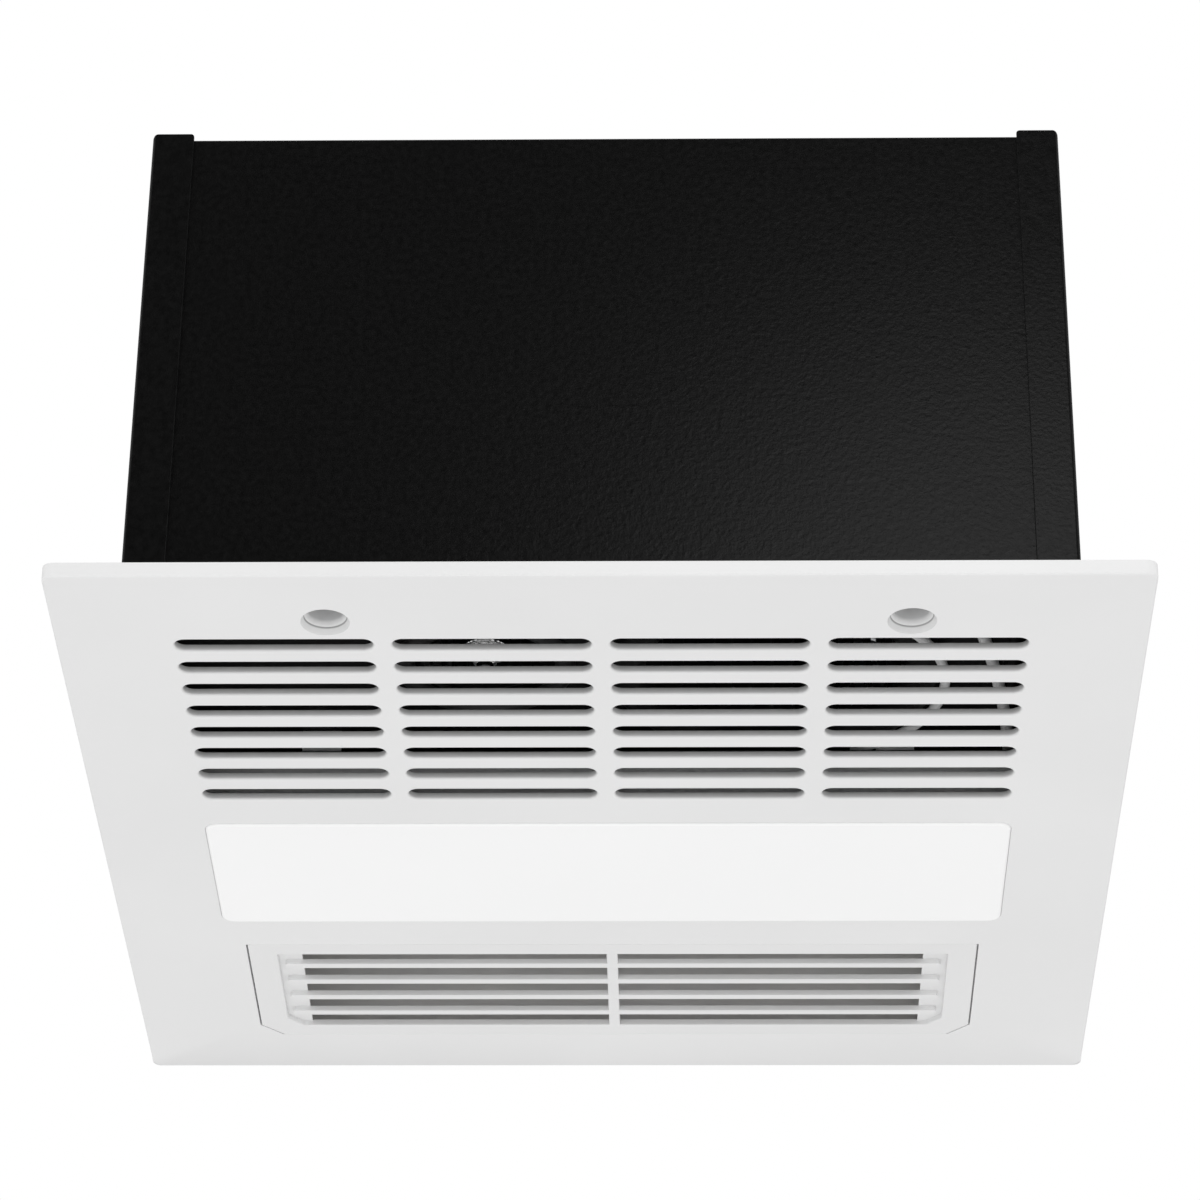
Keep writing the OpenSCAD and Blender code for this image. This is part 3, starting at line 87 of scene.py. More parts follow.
soft_light("room_light", (-0.3, -0.8, -2.4), (0, 0, 0), 2.6, 9)
soft_light("front_lamp", (0.19, -0.74, 0.27), (0.14, -0.17, 0.03), 0.34, 0.31)


def feed(tree, node, inputs):
    """Links each input that is given an output, and sets each one that is given a value."""
    for label, given in inputs.items():
        if isinstance(given, bpy.types.NodeSocket):
            tree.links.new(given, node.inputs[label])
        else:
            node.inputs[label].default_value = given


def add_node(tree, kind, inputs, **settings):
    node = tree.nodes.new(kind)
    for name, value in settings.items():
        setattr(node, name, value)
    feed(tree, node, inputs)
    return node


def vector_maths(tree, operation, *inputs, result="Vector"):
    node = add_node(tree, "ShaderNodeVectorMath", dict(enumerate(inputs)), operation=operation)
    return node.outputs[result]


def map_range(tree, value, from_min=0, from_max=1, to_min=0, to_max=1, curve="LINEAR"):
    node = add_node(tree, "ShaderNodeMapRange", {
        "Value": value, "From Min": from_min, "From Max": from_max, "To Min": to_min, "To Max": to_max},
        interpolation_type=curve)
    return node.outputs["Result"]


def light_the_backdrop(seen, ambient, mirrored, shaded, shade_centre, shade_core, shade_end):
    """A white backdrop: what the camera sees, what lights the unit, and the room its glossy surfaces mirror.
    Part of the room, in front of the unit and above it, is shaded, so that its black box stays black."""
    world = bpy.data.worlds.new("backdrop")
    world.use_nodes = True
    bpy.context.scene.world = world
    tree = world.node_tree
    even = tree.nodes["Background"]
    feed(tree, even, {"Color": (ambient, ambient, ambient, 1)})
    white = add_node(tree, "ShaderNodeBackground", {"Color": (seen, seen, seen, 1)})
    place = add_node(tree, "ShaderNodeTexCoord", {})
    turn = vector_maths(tree, "DOT_PRODUCT", place.outputs["Generated"], shade_centre, result="Value")
    room = map_range(
        tree, turn, math.cos(shade_end), math.cos(shade_core), mirrored, shaded, curve="SMOOTHSTEP")
    mirrored_room = add_node(tree, "ShaderNodeBackground", {"Color": room})
    path = add_node(tree, "ShaderNodeLightPath", {})
    lit = add_node(tree, "ShaderNodeMixShader", {
        "Fac": path.outputs["Is Glossy Ray"], 1: even.outputs[0], 2: mirrored_room.outputs[0]})
    backdrop = add_node(tree, "ShaderNodeMixShader", {
        "Fac": path.outputs["Is Camera Ray"], 1: lit.outputs[0], 2: white.outputs[0]})
    feed(tree, tree.nodes["World Output"], {"Surface": backdrop.outputs[0]})


light_the_backdrop(
    seen=1.0, ambient=1.045, mirrored=0.38, shaded=0.03, shade_centre=(0, -0.85, 0.53),
    shade_core=math.radians(30), shade_end=math.radians(65))
bpy.context.scene.view_settings.view_transform = "Standard"


# Floor: pale painted boards of a room, far below the unit, which bounce light back up at it. Its paint is the
# first finish here, and every finish is made the same way: moulding, coating and rolling all leave a surface
# that is a little uneven in tone, gloss and height.
def start_group(name, inputs, outputs):
    """A node group from its inputs' default values and its outputs' kinds, with its input node's sockets and
    its output node."""
    group = bpy.data.node_groups.new(name, "ShaderNodeTree")
    for label, value in inputs.items():
        kind = {3: "Vector", 4: "Color"}[len(value)] if isinstance(value, tuple) else "Float"
        socket = group.interface.new_socket(name=label, in_out="INPUT", socket_type="NodeSocket" + kind)
        socket.default_value = value
    for label, kind in outputs.items():
        group.interface.new_socket(name=label, in_out="OUTPUT", socket_type="NodeSocket" + kind)
    return group, group.nodes.new("NodeGroupInput").outputs, group.nodes.new("NodeGroupOutput")


def own_place(group):
    return group.nodes.new("ShaderNodeTexCoord").outputs["Object"]


def noise_in(group, scale, detail, result="Fac"):
    noise = add_node(group, "ShaderNodeTexNoise", {
        "Vector": own_place(group), "Scale": scale, "Detail": detail})
    return noise.outputs[result]


def mix_colours(tree, share, first, second):
    node = add_node(tree, "ShaderNodeMix", {"Factor": share, "A": first, "B": second}, data_type="RGBA")
    return node.outputs["Result"]


def build_uneven_tone():
    group, given, result = start_group(
        "uneven_tone",
        {"Pale": (1, 1, 1, 1), "Deep": (0, 0, 0, 1), "Scale": 30, "Smoothest": 0.3, "Roughest": 0.5},
        {"Colour": "Color", "Roughness": "Float"})
    noise = noise_in(group, given["Scale"], 5)
    tone = mix_colours(group, map_range(group, noise, 0.32, 0.68), given["Deep"], given["Pale"])
    gloss = map_range(group, noise, 0.3, 0.7, given["Smoothest"], given["Roughest"])
    feed(group, result, {"Colour": tone, "Roughness": gloss})
    return group


def build_surface_grain():
    group, given, result = start_group("surface_grain", {"Scale": 1500}, {"Height": "Float"})
    feed(group, result, {"Height": noise_in(group, given["Scale"], 3)})
    return group


uneven_tone = build_uneven_tone()
surface_grain = build_surface_grain()


def colour_of(tone):
    """A colour as it is, or a plain number as a grey."""
    return tone if isinstance(tone, tuple) else (tone, tone, tone, 1)


def make_finish(name, pale, deep, mottle, roughness, grain, depth, metallic=0.0, specular=0.5):
    """A material with uneven tone and gloss from pale to deep, and a fine grain of that depth."""
    material = bpy.data.materials.new(name)
    material.use_nodes = True
    tree = material.node_tree
    tone = add_node(tree, "ShaderNodeGroup", {
        "Pale": colour_of(pale), "Deep": colour_of(deep), "Scale": mottle, "Smoothest": roughness[0],
        "Roughest": roughness[1]}, node_tree=uneven_tone)
    fine = add_node(tree, "ShaderNodeGroup", {"Scale": grain}, node_tree=surface_grain)
    bump = add_node(tree, "ShaderNodeBump", {"Distance": depth, "Height": fine.outputs["Height"]})
    feed(tree, tree.nodes["Principled BSDF"], {
        "Metallic": metallic, "Specular IOR Level": specular, "Base Color": tone.outputs["Colour"],
        "Roughness": tone.outputs["Roughness"], "Normal": bump.outputs["Normal"]})
    return material


def mesh_data(name, mesh):
    data = bpy.data.meshes.new(name)
    mesh.to_mesh(data)
    mesh.free()
    return data


def lay_floor(height, size):
    mesh = bmesh.new()
    bmesh.ops.create_grid(mesh, x_segments=1, y_segments=1, size=size / 2)
    bmesh.ops.translate(mesh, vec=(0, 0, height), verts=mesh.verts)
    floor = new_object("floor", mesh_data("floor", mesh))
    floor.data.materials.append(make_finish(
        "floor_paint", 0.82, 0.78, mottle=2, roughness=(0.7, 0.9), grain=40, depth=0.1 * mm))


lay_floor(height=-3.2, size=14)


# Face panel: white ABS moulding, 3 mm thick, with 32 intake slots whose outer edges are well rounded and
# whose inner walls carry painted shade, darker deeper in. Its far edge carries the hinge, and two stepped
# recesses take the screws. The mould gives it a fine, even satin surface.
def join_close(mesh):
    bmesh.ops.remove_doubles(mesh, verts=mesh.verts, dist=0.002 * mm)


def face_outwards(mesh):
    bmesh.ops.recalc_face_normals(mesh, faces=mesh.faces)


def verts_in(geometry):
    return [g for g in geometry if isinstance(g, bmesh.types.BMVert)]


def edges_in(geometry):
    return [g for g in geometry if isinstance(g, bmesh.types.BMEdge)]


def open_edges(mesh):
    return [e for e in mesh.edges if e.is_boundary]


def lies_at(part, height):
    return all(abs(v.co.z - height) < 0.01 * mm for v in part.verts)


def corners_of(verts):
    """The low and the high corner of the box round some vertices."""
    places = [v.co for v in verts]
    return [Vector([pick(place[i] for place in places) for i in range(3)]) for pick in (min, max)]


def place_of(part):
    """A vertex's, edge's or face's corners, by which it is sorted: the same on each run."""
    return sorted(tuple(round(c, 6) for c in v.co) for v in getattr(part, "verts", [part]))


def settle_order(mesh):
    for parts in (mesh.verts, mesh.edges, mesh.faces):
        rank = {part: number for number, part in enumerate(sorted(parts, key=place_of))}
        parts.sort(key=rank.get)


def fill_between(mesh, rims):
    """Fills the flat skin between closed rims, and leaves their holes open."""
    rims = sorted(rims, key=place_of)
    return bmesh.ops.triangle_fill(mesh, use_beauty=True, edges=rims)["geom"]


def merged_copy(node):
    """A node's solid as one closed mesh: its loose triangles joined, and its flat faces whole again."""
    mesh = bmesh.new()
    mesh.from_mesh(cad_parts[node].data)
    join_close(mesh)
    bmesh.ops.dissolve_limit(mesh, angle_limit=math.radians(0.3), verts=mesh.verts, edges=mesh.edges)
    return mesh


def add_piece(name, mesh, finish, body, nodes=(), smooth=50):
    settle_order(mesh)
    data = mesh_data(name, mesh)
    data.materials.append(finish)
    data.shade_smooth()
    data.set_sharp_from_angle(angle=math.radians(smooth))
    piece = new_object(name, data)
    evened = piece.modifiers.new("even_faces", "WEIGHTED_NORMAL")
    evened.keep_sharp = True
    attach(piece, body)
    if nodes:
        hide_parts(*nodes)
    return piece


def open_face(mesh, height):
    """Takes away the flat skin at that height, and returns the rims of all the holes and edges in it."""
    bmesh.ops.delete(mesh, geom=[f for f in mesh.faces if lies_at(f, height)], context="FACES")
    return open_edges(mesh)


def rim_groups(edges):
    """Sorts boundary edges into closed rims."""
    left = dict.fromkeys(sorted(edges, key=place_of))
    rims = []
    while left:
        rim = [left.popitem()[0]]
        for edge in rim:
            for vertex in edge.verts:
                for following in vertex.link_edges:
                    if following in left:
                        del left[following]
                        rim.append(following)
        rims.append(rim)
    return rims


def round_rim(mesh, rim, radius, steps):
    """Turns the upright wall at a rim over into the flat skin, by a quarter round below the rim's height."""
    into_skin = {}
    for edge in rim:
        for vertex in edge.verts:
            into_skin.setdefault(vertex, []).append(-edge.link_faces[0].normal)
    mitres = {v.co.copy().freeze(): (a + b) / (1 + a.dot(b)) for v, (a, b) in into_skin.items()}
    start = {v: (v.co.copy(), mitres[v.co.copy().freeze()], radius(v.co)) for v in into_skin}
    for vertex, (place, _, size) in start.items():
        vertex.co = place + Vector((0, 0, size))
    edges = rim
    for step in range(1, steps + 1):
        angle = math.radians(90) * step / steps
        turned = bmesh.ops.extrude_edge_only(mesh, edges=edges)["geom"]
        following = {}
        for vertex in verts_in(turned):
            below = next(e.other_vert(vertex) for e in vertex.link_edges if e.other_vert(vertex) in start)
            following[vertex] = start[below]
        for vertex, (place, mitre, size) in following.items():
            climb = Vector((0, 0, size * (1 - math.sin(angle))))
            vertex.co = place + mitre * size * (1 - math.cos(angle)) + climb
        edges = edges_in(turned)
        start = following


def size_of(rim):
    low, high = corners_of(v for edge in rim for v in edge.verts)
    return high - low


panel_low, panel_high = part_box("face_panel")
panel_sheet = 3 * mm
slot_rounding = 1.0 * mm
insert_rounding = 0.15 * mm
outer_rounding = 0.8 * mm
hinge_edge = 6 * mm
rounding_runout = 2 * mm


def panel_rounding(rim):
    """The rounding along a rim: the panel's own, which ends before the hinge, a slot's, or an insert's."""
    size = size_of(rim)
    if size.x > panel_high.x - panel_low.x - 10 * mm:
        last = panel_high.y - hinge_edge - rounding_runout / 2
        return lambda place: outer_rounding if place.y < last else 0
    is_slot = size.y < 10 * mm
    return lambda place: slot_rounding if is_slot else insert_rounding


def mould_face_panel():
    mesh = merged_copy("face_panel")
    for back in (hinge_edge, hinge_edge + rounding_runout):
        bmesh.ops.bisect_plane(
            mesh, geom=mesh.verts[:] + mesh.edges[:] + mesh.faces[:], dist=0.001 * mm,
            plane_co=(0, panel_high.y - back, 0), plane_no=(0, 1, 0))
    for rim in rim_groups(open_face(mesh, panel_low.z)):
        round_rim(mesh, rim, panel_rounding(rim), steps=5)
    join_close(mesh)
    fill_between(mesh, open_edges(mesh))
    face_outwards(mesh)
    return mesh


def maths(tree, operation, *inputs, clamp=False):
    node = add_node(tree, "ShaderNodeMath", dict(enumerate(inputs)), operation=operation, use_clamp=clamp)
    return node.outputs["Value"]


def build_slot_shade():
    """A mask that grows from a height inwards, inside a field of slots: painted shade, darker deeper in."""
    group, given, result = start_group(
        "slot_shade",
        {"Start Height": 0, "Depth": 2 * mm, "Field Middle": (0, 0, 0), "Field Reach": (1, 1, 1),
         "Breakup": 200},
        {"Mask": "Float"})
    place = own_place(group)
    height = add_node(group, "ShaderNodeSeparateXYZ", {"Vector": place}).outputs["Z"]
    above = maths(group, "SUBTRACT", height, given["Start Height"])
    grown = maths(group, "DIVIDE", above, given["Depth"], clamp=True)
    offset = vector_maths(group, "SUBTRACT", place, given["Field Middle"])
    share = vector_maths(group, "DIVIDE", vector_maths(group, "ABSOLUTE", offset), given["Field Reach"])
    axes = add_node(group, "ShaderNodeSeparateXYZ", {"Vector": share}).outputs
    inside = maths(group, "LESS_THAN", maths(group, "MAXIMUM", axes["X"], axes["Y"]), 1)
    patchy = map_range(group, noise_in(group, given["Breakup"], 3), to_min=0.8, to_max=1.1)
    mask = maths(group, "MULTIPLY", maths(group, "MULTIPLY", grown, inside), patchy, clamp=True)
    feed(group, result, {"Mask": mask})
    return group


slot_shade = build_slot_shade()


def blend_colour(material, mask, colour):
    """Lays a second colour over the first wherever the mask is."""
    tree = material.node_tree
    base = tree.nodes["Principled BSDF"].inputs["Base Color"]
    tree.links.new(mix_colours(tree, mask, base.links[0].from_socket, colour_of(colour)), base)


def shade_slots(material, colour, start, depth, middle, reach):
    """Lays painted shade on the walls of a field's slots, from a distance behind the panel's face inwards."""
    painted_shade = add_node(material.node_tree, "ShaderNodeGroup", {
        "Start Height": panel_low.z + start, "Depth": depth, "Field Middle": (*middle, 0),
        "Field Reach": (*reach, 1), "Breakup": 260}, node_tree=slot_shade)
    blend_colour(material, painted_shade.outputs["Mask"], colour)


panel_satin = make_finish(
    "panel_satin", pale=0.815, deep=0.79, mottle=9, roughness=(0.34, 0.42), grain=2600, depth=0.012 * mm,
    specular=0.45)
# Painted shade: the slot walls turn grey deeper behind the panel's face.
shade_slots(
    panel_satin, 0.36, 0.5 * mm, 2.4 * mm, middle=(0, -94.5 * mm), reach=(172 * mm, 62.5 * mm))
# Painted shade in the two screw recesses, by depth behind the face: a dark line from 2.1 mm, a paler ledge
# from 2.75 mm, and mid grey in the bore from 4.1 mm.
recess_shade_bands = ((0.3, 2.1, 0.5), (0.84, 2.75, 0.2), (0.6, 4.1, 1.2))
for recess_x in (-100 * mm, 113.3 * mm):
    for tone, start, depth in recess_shade_bands:
        shade_slots(
            panel_satin, tone, start * mm, depth * mm, middle=(recess_x, -168 * mm),
            reach=(9 * mm, 9 * mm))
add_piece(
    "panel_moulding", mould_face_panel(), panel_satin, "panel", ["face_panel"], smooth=30)


# Warm-air louvre: a separate insert in the same family of white plastic, a shade greyer, pushed into the
# panel from behind until its lip rests on the panel's back. Four round-ended blades and a middle post stand
# in a sunk field with cut far corners, and the blades' near edges are well rounded.
louvre_low, louvre_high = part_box("warm_louvre")
face_level = panel_low.z
louvre_lip = 3 * mm
louvre_outer_x = louvre_high.x - louvre_lip - 0.3 * mm
louvre_outer_near = louvre_low.y + louvre_lip
louvre_outer_far = louvre_high.y - louvre_lip
louvre_cut_corner = 9 * mm
field_cut_corner = 6.4 * mm
field_x = louvre_outer_x - 11.55 * mm
field_near = louvre_outer_near + 8.85 * mm
field_far = louvre_outer_far - 8.65 * mm
field_floor = face_level + 2.2 * mm
louvre_back = louvre_high.z
slit_x = field_x - 9.9 * mm
frame_back = face_level + 2.7 * mm


def cut_corner_face(mesh, reach_x, near, far, corner, height):
    """A flat face with its two far corners cut off at 45 degrees."""
    points = [
        (-reach_x, near), (reach_x, near), (reach_x, far - corner), (reach_x - corner, far),
        (-reach_x + corner, far), (-reach_x, far - corner)]
    return mesh.faces.new([mesh.verts.new((x, y, height)) for x, y in points])


def lift(mesh, geometry, height):
    bmesh.ops.translate(mesh, vec=(0, 0, height), verts=verts_in(geometry))


def solid_between(mesh, face, height):
    """Makes a face into a plate up to a height."""
    base = face.verts[0].co.z
    lift(mesh, bmesh.ops.extrude_face_region(mesh, geom=[face])["geom"], height - base)


def raise_wall(mesh, face, height, faces_out):
    """Turns a flat face's outline into an upright wall up to a height, facing out of it or into it."""
    middle = face.calc_center_median()
    outline = face.edges[:]
    bmesh.ops.delete(mesh, geom=[face], context="FACES_ONLY")
    raised = bmesh.ops.extrude_edge_only(mesh, edges=outline)["geom"]
    lift(mesh, raised, height - middle.z)
    for wall in (g for g in raised if isinstance(g, bmesh.types.BMFace)):
        wall.normal_update()
        outwards = wall.normal.dot(wall.calc_center_median() - middle) > 0
        if outwards != faces_out:
            wall.normal_flip()


def upright_edges(mesh):
    return [e for e in mesh.edges if abs(e.verts[0].co.z - e.verts[1].co.z) > mm]


def open_rims_at(mesh, height):
    return [e for e in open_edges(mesh) if lies_at(e, height)]


def mould_louvre_frame():
    corner_round = 0.8 * mm
    outer_round = 0.15 * mm
    field_round = 0.5 * mm
    mesh = bmesh.new()
    outer = cut_corner_face(
        mesh, louvre_outer_x, louvre_outer_near, louvre_outer_far, louvre_cut_corner, face_level)
    inner = cut_corner_face(mesh, field_x, field_near, field_far, field_cut_corner, face_level)
    raise_wall(mesh, outer, frame_back, faces_out=True)
    raise_wall(mesh, inner, frame_back, faces_out=False)
    round_edges(mesh, upright_edges(mesh), corner_round, 3)
    for rim in rim_groups(open_rims_at(mesh, face_level)):
        rounding = outer_round if size_of(rim).x > 2 * field_x + mm else field_round
        round_rim(mesh, rim, lambda place: rounding, steps=3)
    join_close(mesh)
    for level in (face_level, frame_back):
        fill_between(mesh, open_rims_at(mesh, level))
    face_outwards(mesh)
    return mesh


def mould_louvre_lip(mesh):
    """The frame's back: a collar inside the panel's opening, and the lip that rests on the panel's back."""
    collar_wall = 3 * mm
    overlap = 0.1 * mm
    lip_level = face_level + panel_sheet
    for reach, low, high in (
            (0, frame_back - overlap, lip_level + overlap), (louvre_lip, lip_level, louvre_back)):
        outer = cut_corner_face(
            mesh, louvre_outer_x + reach, louvre_outer_near - reach, louvre_outer_far + reach,
            louvre_cut_corner, low)
        inner = cut_corner_face(
            mesh, louvre_outer_x - collar_wall, louvre_outer_near + collar_wall,
            louvre_outer_far - collar_wall, louvre_cut_corner, low)
        rims = outer.edges[:] + inner.edges[:]
        bmesh.ops.delete(mesh, geom=[outer, inner], context="FACES_ONLY")
        ring = fill_between(mesh, rims)
        lift(mesh, bmesh.ops.extrude_face_region(mesh, geom=ring, use_keep_orig=True)["geom"], high - low)


def mould_end_floors(mesh):
    overlap = 2 * mm
    for side in (-1, 1):
        floor = cut_corner_face(
            mesh, field_x + overlap, field_near - overlap, field_far + overlap, field_cut_corner,
            field_floor - 0.01 * mm)
        cut = bmesh.ops.bisect_plane(
            mesh, geom=[floor] + floor.edges[:] + floor.verts[:], dist=0.001 * mm,
            plane_co=(side * slit_x, 0, 0), plane_no=(side, 0, 0), clear_inner=True)
        kept = next(g for g in cut["geom"] if isinstance(g, bmesh.types.BMFace))
        solid_between(mesh, kept, louvre_back - 0.05 * mm)


def round_edges(mesh, edges, radius, segments=2):
    bmesh.ops.bevel(
        mesh, geom=edges, offset=radius, segments=segments, profile=0.5, affect="EDGES", material=-1,
        clamp_overlap=False)


def sharp_edges(mesh, angle=30):
    return [e for e in mesh.edges if e.is_manifold and e.calc_face_angle(0) > math.radians(angle)]


def add_box(mesh, low, high):
    low = Vector(low)
    high = Vector(high)
    made = bmesh.ops.create_cube(mesh, size=1)["verts"]
    bmesh.ops.scale(mesh, vec=high - low, verts=made)
    bmesh.ops.translate(mesh, vec=(low + high) / 2, verts=made)
    return made


def join_part(mesh, part):
    """Adds a finished part to a mesh."""
    data = mesh_data("part", part)
    mesh.from_mesh(data)
    bpy.data.meshes.remove(data)


def mould_blades(mesh):
    blade_width = 4.1 * mm
    blade_end = field_x - 2.6 * mm
    end_round = 1.6 * mm
    near_round = 1.5 * mm
    far_round = 0.35 * mm
    first = field_near + 10.3 * mm
    last = field_far - 11.9 * mm
    for number in range(4):
        middle = first + (last - first) * number / 3
        near = middle - blade_width / 2
        blade = bmesh.new()
        add_box(
            blade, (-blade_end, near, face_level),
            (blade_end, middle + blade_width / 2, field_floor + 0.05 * mm))
        round_edges(blade, upright_edges(blade), end_round, 4)
        low_rim = [e for e in sharp_edges(blade, 40) if all(v.co.z < face_level + 0.1 * mm for v in e.verts)]
        near_rim = [e for e in low_rim if all(abs(v.co.y - near) < 0.1 * mm for v in e.verts)]
        round_edges(blade, near_rim, near_round, 6)
        low_rim = [e for e in sharp_edges(blade, 40) if all(v.co.z < face_level + 0.1 * mm for v in e.verts)]
        far_rim = [e for e in low_rim if all(v.co.y > middle for v in e.verts)]
        round_edges(blade, far_rim, far_round, 2)
        join_part(mesh, blade)


def mould_post(mesh):
    post_half = 2.3 * mm
    post_round = 0.5 * mm
    overlap = 0.5 * mm
    post = bmesh.new()
    add_box(
        post, (-post_half, field_near - overlap, face_level + 0.02 * mm),
        (post_half, field_far + overlap, field_floor + 0.1 * mm))
    long_edges = [
        e for e in post.edges
        if abs(e.verts[0].co.y - e.verts[1].co.y) > mm and all(v.co.z < face_level + mm for v in e.verts)]
    round_edges(post, long_edges, post_round, 3)
    join_part(mesh, post)


louvre_satin = make_finish(
    "louvre_satin", pale=0.8, deep=0.77, mottle=11, roughness=(0.36, 0.44), grain=2600, depth=0.012 * mm,
    specular=0.42)
louvre = mould_louvre_frame()
mould_louvre_lip(louvre)
mould_end_floors(louvre)
mould_blades(louvre)
mould_post(louvre)
face_outwards(louvre)
add_piece("louvre_insert", louvre, louvre_satin, "panel", ["warm_louvre"])


# Light lens: one opal acrylic moulding, a shade brighter than the panel, that stands 0.7 mm proud of it with
# soft edges. It is a shallow tray, held from behind by six bent zinc-plated clips.
def rounded_face(mesh, width, depth, radius, middle, height):
    earlier = set(mesh.faces)
    corners = bmesh.ops.create_grid(mesh, x_segments=1, y_segments=1, size=0.5)["verts"]
    bmesh.ops.scale(mesh, vec=(width, depth, 1), verts=corners)
    bmesh.ops.translate(mesh, vec=(middle[0], middle[1], height), verts=corners)
    bmesh.ops.bevel(
        mesh, geom=corners, offset=radius, segments=8, profile=0.5, affect="VERTICES", material=-1,
        clamp_overlap=False)
    return next(f for f in mesh.faces if f not in earlier)


def mould_lens():
    low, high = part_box("diffuser_lens")
    lip = 2.5 * mm
    snug = 0.25 * mm
    width = high.x - low.x - 2 * lip + snug
    depth = high.y - low.y - 2 * lip
    middle = ((low.x + high.x) / 2, (low.y + high.y) / 2)
    corner = 5 * mm
    edge_round = 1.1 * mm
    skin = 2.2 * mm
    steps = 5
    mesh = bmesh.new()
    lens = rounded_face(mesh, width, depth, corner, middle, low.z + edge_round)
    reached = Vector((0, 0))
    for step in range(1, steps + 1):
        angle = math.radians(90) * step / steps
        target = Vector((1 - math.cos(angle), math.sin(angle))) * edge_round
        bmesh.ops.inset_individual(
            mesh, faces=[lens], thickness=target.x - reached.x, depth=reached.y - target.y,
            use_even_offset=True)
        reached = target
    back = panel_low.z + panel_sheet
    wall = bmesh.ops.extrude_edge_only(mesh, edges=open_edges(mesh))["geom"]
    lift(mesh, wall, back - low.z - edge_round)
    flange = rounded_face(mesh, high.x - low.x, high.y - low.y, corner + lip, middle, back)
    flange_rim = flange.edges[:]
    bmesh.ops.delete(mesh, geom=[flange], context="FACES_ONLY")
    fill_between(mesh, flange_rim + edges_in(wall))
    turned = bmesh.ops.extrude_edge_only(mesh, edges=flange_rim)["geom"]
    lift(mesh, turned, high.z - back)
    hollow = rounded_face(mesh, width - 2 * lip, depth - 2 * lip, corner, middle, low.z + skin)
    inner = bmesh.ops.extrude_edge_only(mesh, edges=hollow.edges[:])["geom"]
    lift(mesh, inner, high.z - low.z - skin)
    fill_between(mesh, edges_in(turned + inner))
    join_close(mesh)
    face_outwards(mesh)
    return mesh


opal_acrylic = make_finish(
    "opal_acrylic", pale=0.965, deep=0.95, mottle=6, roughness=(0.22, 0.27), grain=900, depth=0.004 * mm,
    specular=0.5)
add_piece("lens_moulding", mould_lens(), opal_acrylic, "panel", ["diffuser_lens"])


# Lens clips, hinge pins, knuckles and screws: small pressed and turned steel parts, bright zinc plated. The
# cross recesses of the screws are pressed into their heads.
def softened(node, radius, segments=2, angle=30):
    """A node's solid with its sharp edges rounded as a tool or a press leaves them."""
    mesh = merged_copy(node)
    round_edges(mesh, sharp_edges(mesh, angle), radius, segments)
    return mesh


def add_softened(name, node, radius, finish, body="housing", segments=2, angle=30):
    add_piece(name, softened(node, radius, segments, angle), finish, body, [node])


zinc_plate = make_finish(
    "zinc_plate", pale=(0.66, 0.67, 0.68, 1), deep=(0.5, 0.51, 0.53, 1), mottle=160, roughness=(0.22, 0.4),
    grain=5000, depth=0.006 * mm, metallic=1.0)
add_softened("lens_clips", "lens_retainers", 0.2 * mm, zinc_plate, body="panel")
add_softened("panel_screw_pair", "panel_screws", 0.15 * mm, zinc_plate, body="panel")
add_softened("knuckle_pair", "hinge_knuckles", 0.2 * mm, zinc_plate)
add_softened("pin_pair", "hinge_pins", 0.2 * mm, zinc_plate)


def turn_about(mesh, verts, degrees, axis):
    bmesh.ops.rotate(
        mesh, cent=(0, 0, 0), matrix=Matrix.Rotation(math.radians(degrees), 3, axis), verts=verts)


def add_cross_head(mesh, centre, across, rise):
    """A domed pan head with a cross recess, whose flat side sits at centre and whose dome points along +Y."""
    radius = across / 2
    arm = radius * 0.52
    half_slot = radius * 0.13
    flat_top = radius * 0.62
    pit_depth = rise * 0.6
    pit_taper = 0.72
    dome = ((0.86, 0.86), (0.97, 0.55), (1.0, 0.25), (1.0, 0.0))
    head = bmesh.new()
    cross = []
    for quarter in range(4):
        turn = Matrix.Rotation(math.radians(90) * quarter, 3, "Z")
        for x, y in ((arm, -half_slot), (arm, half_slot), (half_slot, half_slot)):
            cross.append(head.verts.new(turn @ Vector((x, y, rise))))
    pit = head.faces.new(cross)
    ring = bmesh.ops.create_circle(head, cap_ends=False, segments=24, radius=flat_top)["verts"]
    bmesh.ops.translate(head, vec=(0, 0, rise), verts=ring)
    edges = [e for e in head.edges if e not in pit.edges[:]]
    fill_between(head, edges + pit.edges[:])
    floor = verts_in(bmesh.ops.extrude_face_region(head, geom=[pit])["geom"])
    bmesh.ops.translate(head, vec=(0, 0, -pit_depth), verts=floor)
    bmesh.ops.scale(head, vec=(pit_taper, pit_taper, 1), verts=floor)
    bmesh.ops.delete(head, geom=[pit], context="FACES_ONLY")
    for share, height in dome:
        turned = bmesh.ops.extrude_edge_only(head, edges=edges)["geom"]
        edges = edges_in(turned)
        for vertex in verts_in(turned):
            outwards = Vector((vertex.co.x, vertex.co.y)).normalized() * radius * share
            vertex.co = (outwards.x, outwards.y, rise * height)
    bmesh.ops.holes_fill(head, edges=edges)
    face_outwards(head)
    turn_about(head, head.verts, -90, "X")
    bmesh.ops.translate(head, vec=centre, verts=head.verts)
    join_part(mesh, head)


def solid_boxes(node):
    """The box of each separate solid of a node, as its two corners."""
    mesh = merged_copy(node)
    left = dict.fromkeys(mesh.verts)
    found = []
    while left:
        group = [left.popitem()[0]]
        for vertex in group:
            for edge in vertex.link_edges:
                other = edge.other_vert(vertex)
                if other in left:
                    del left[other]
                    group.append(other)
        found.append(corners_of(group))
    mesh.free()
    return sorted(found, key=lambda box: (round(box[0].x, 4), round(box[0].z, 4)))


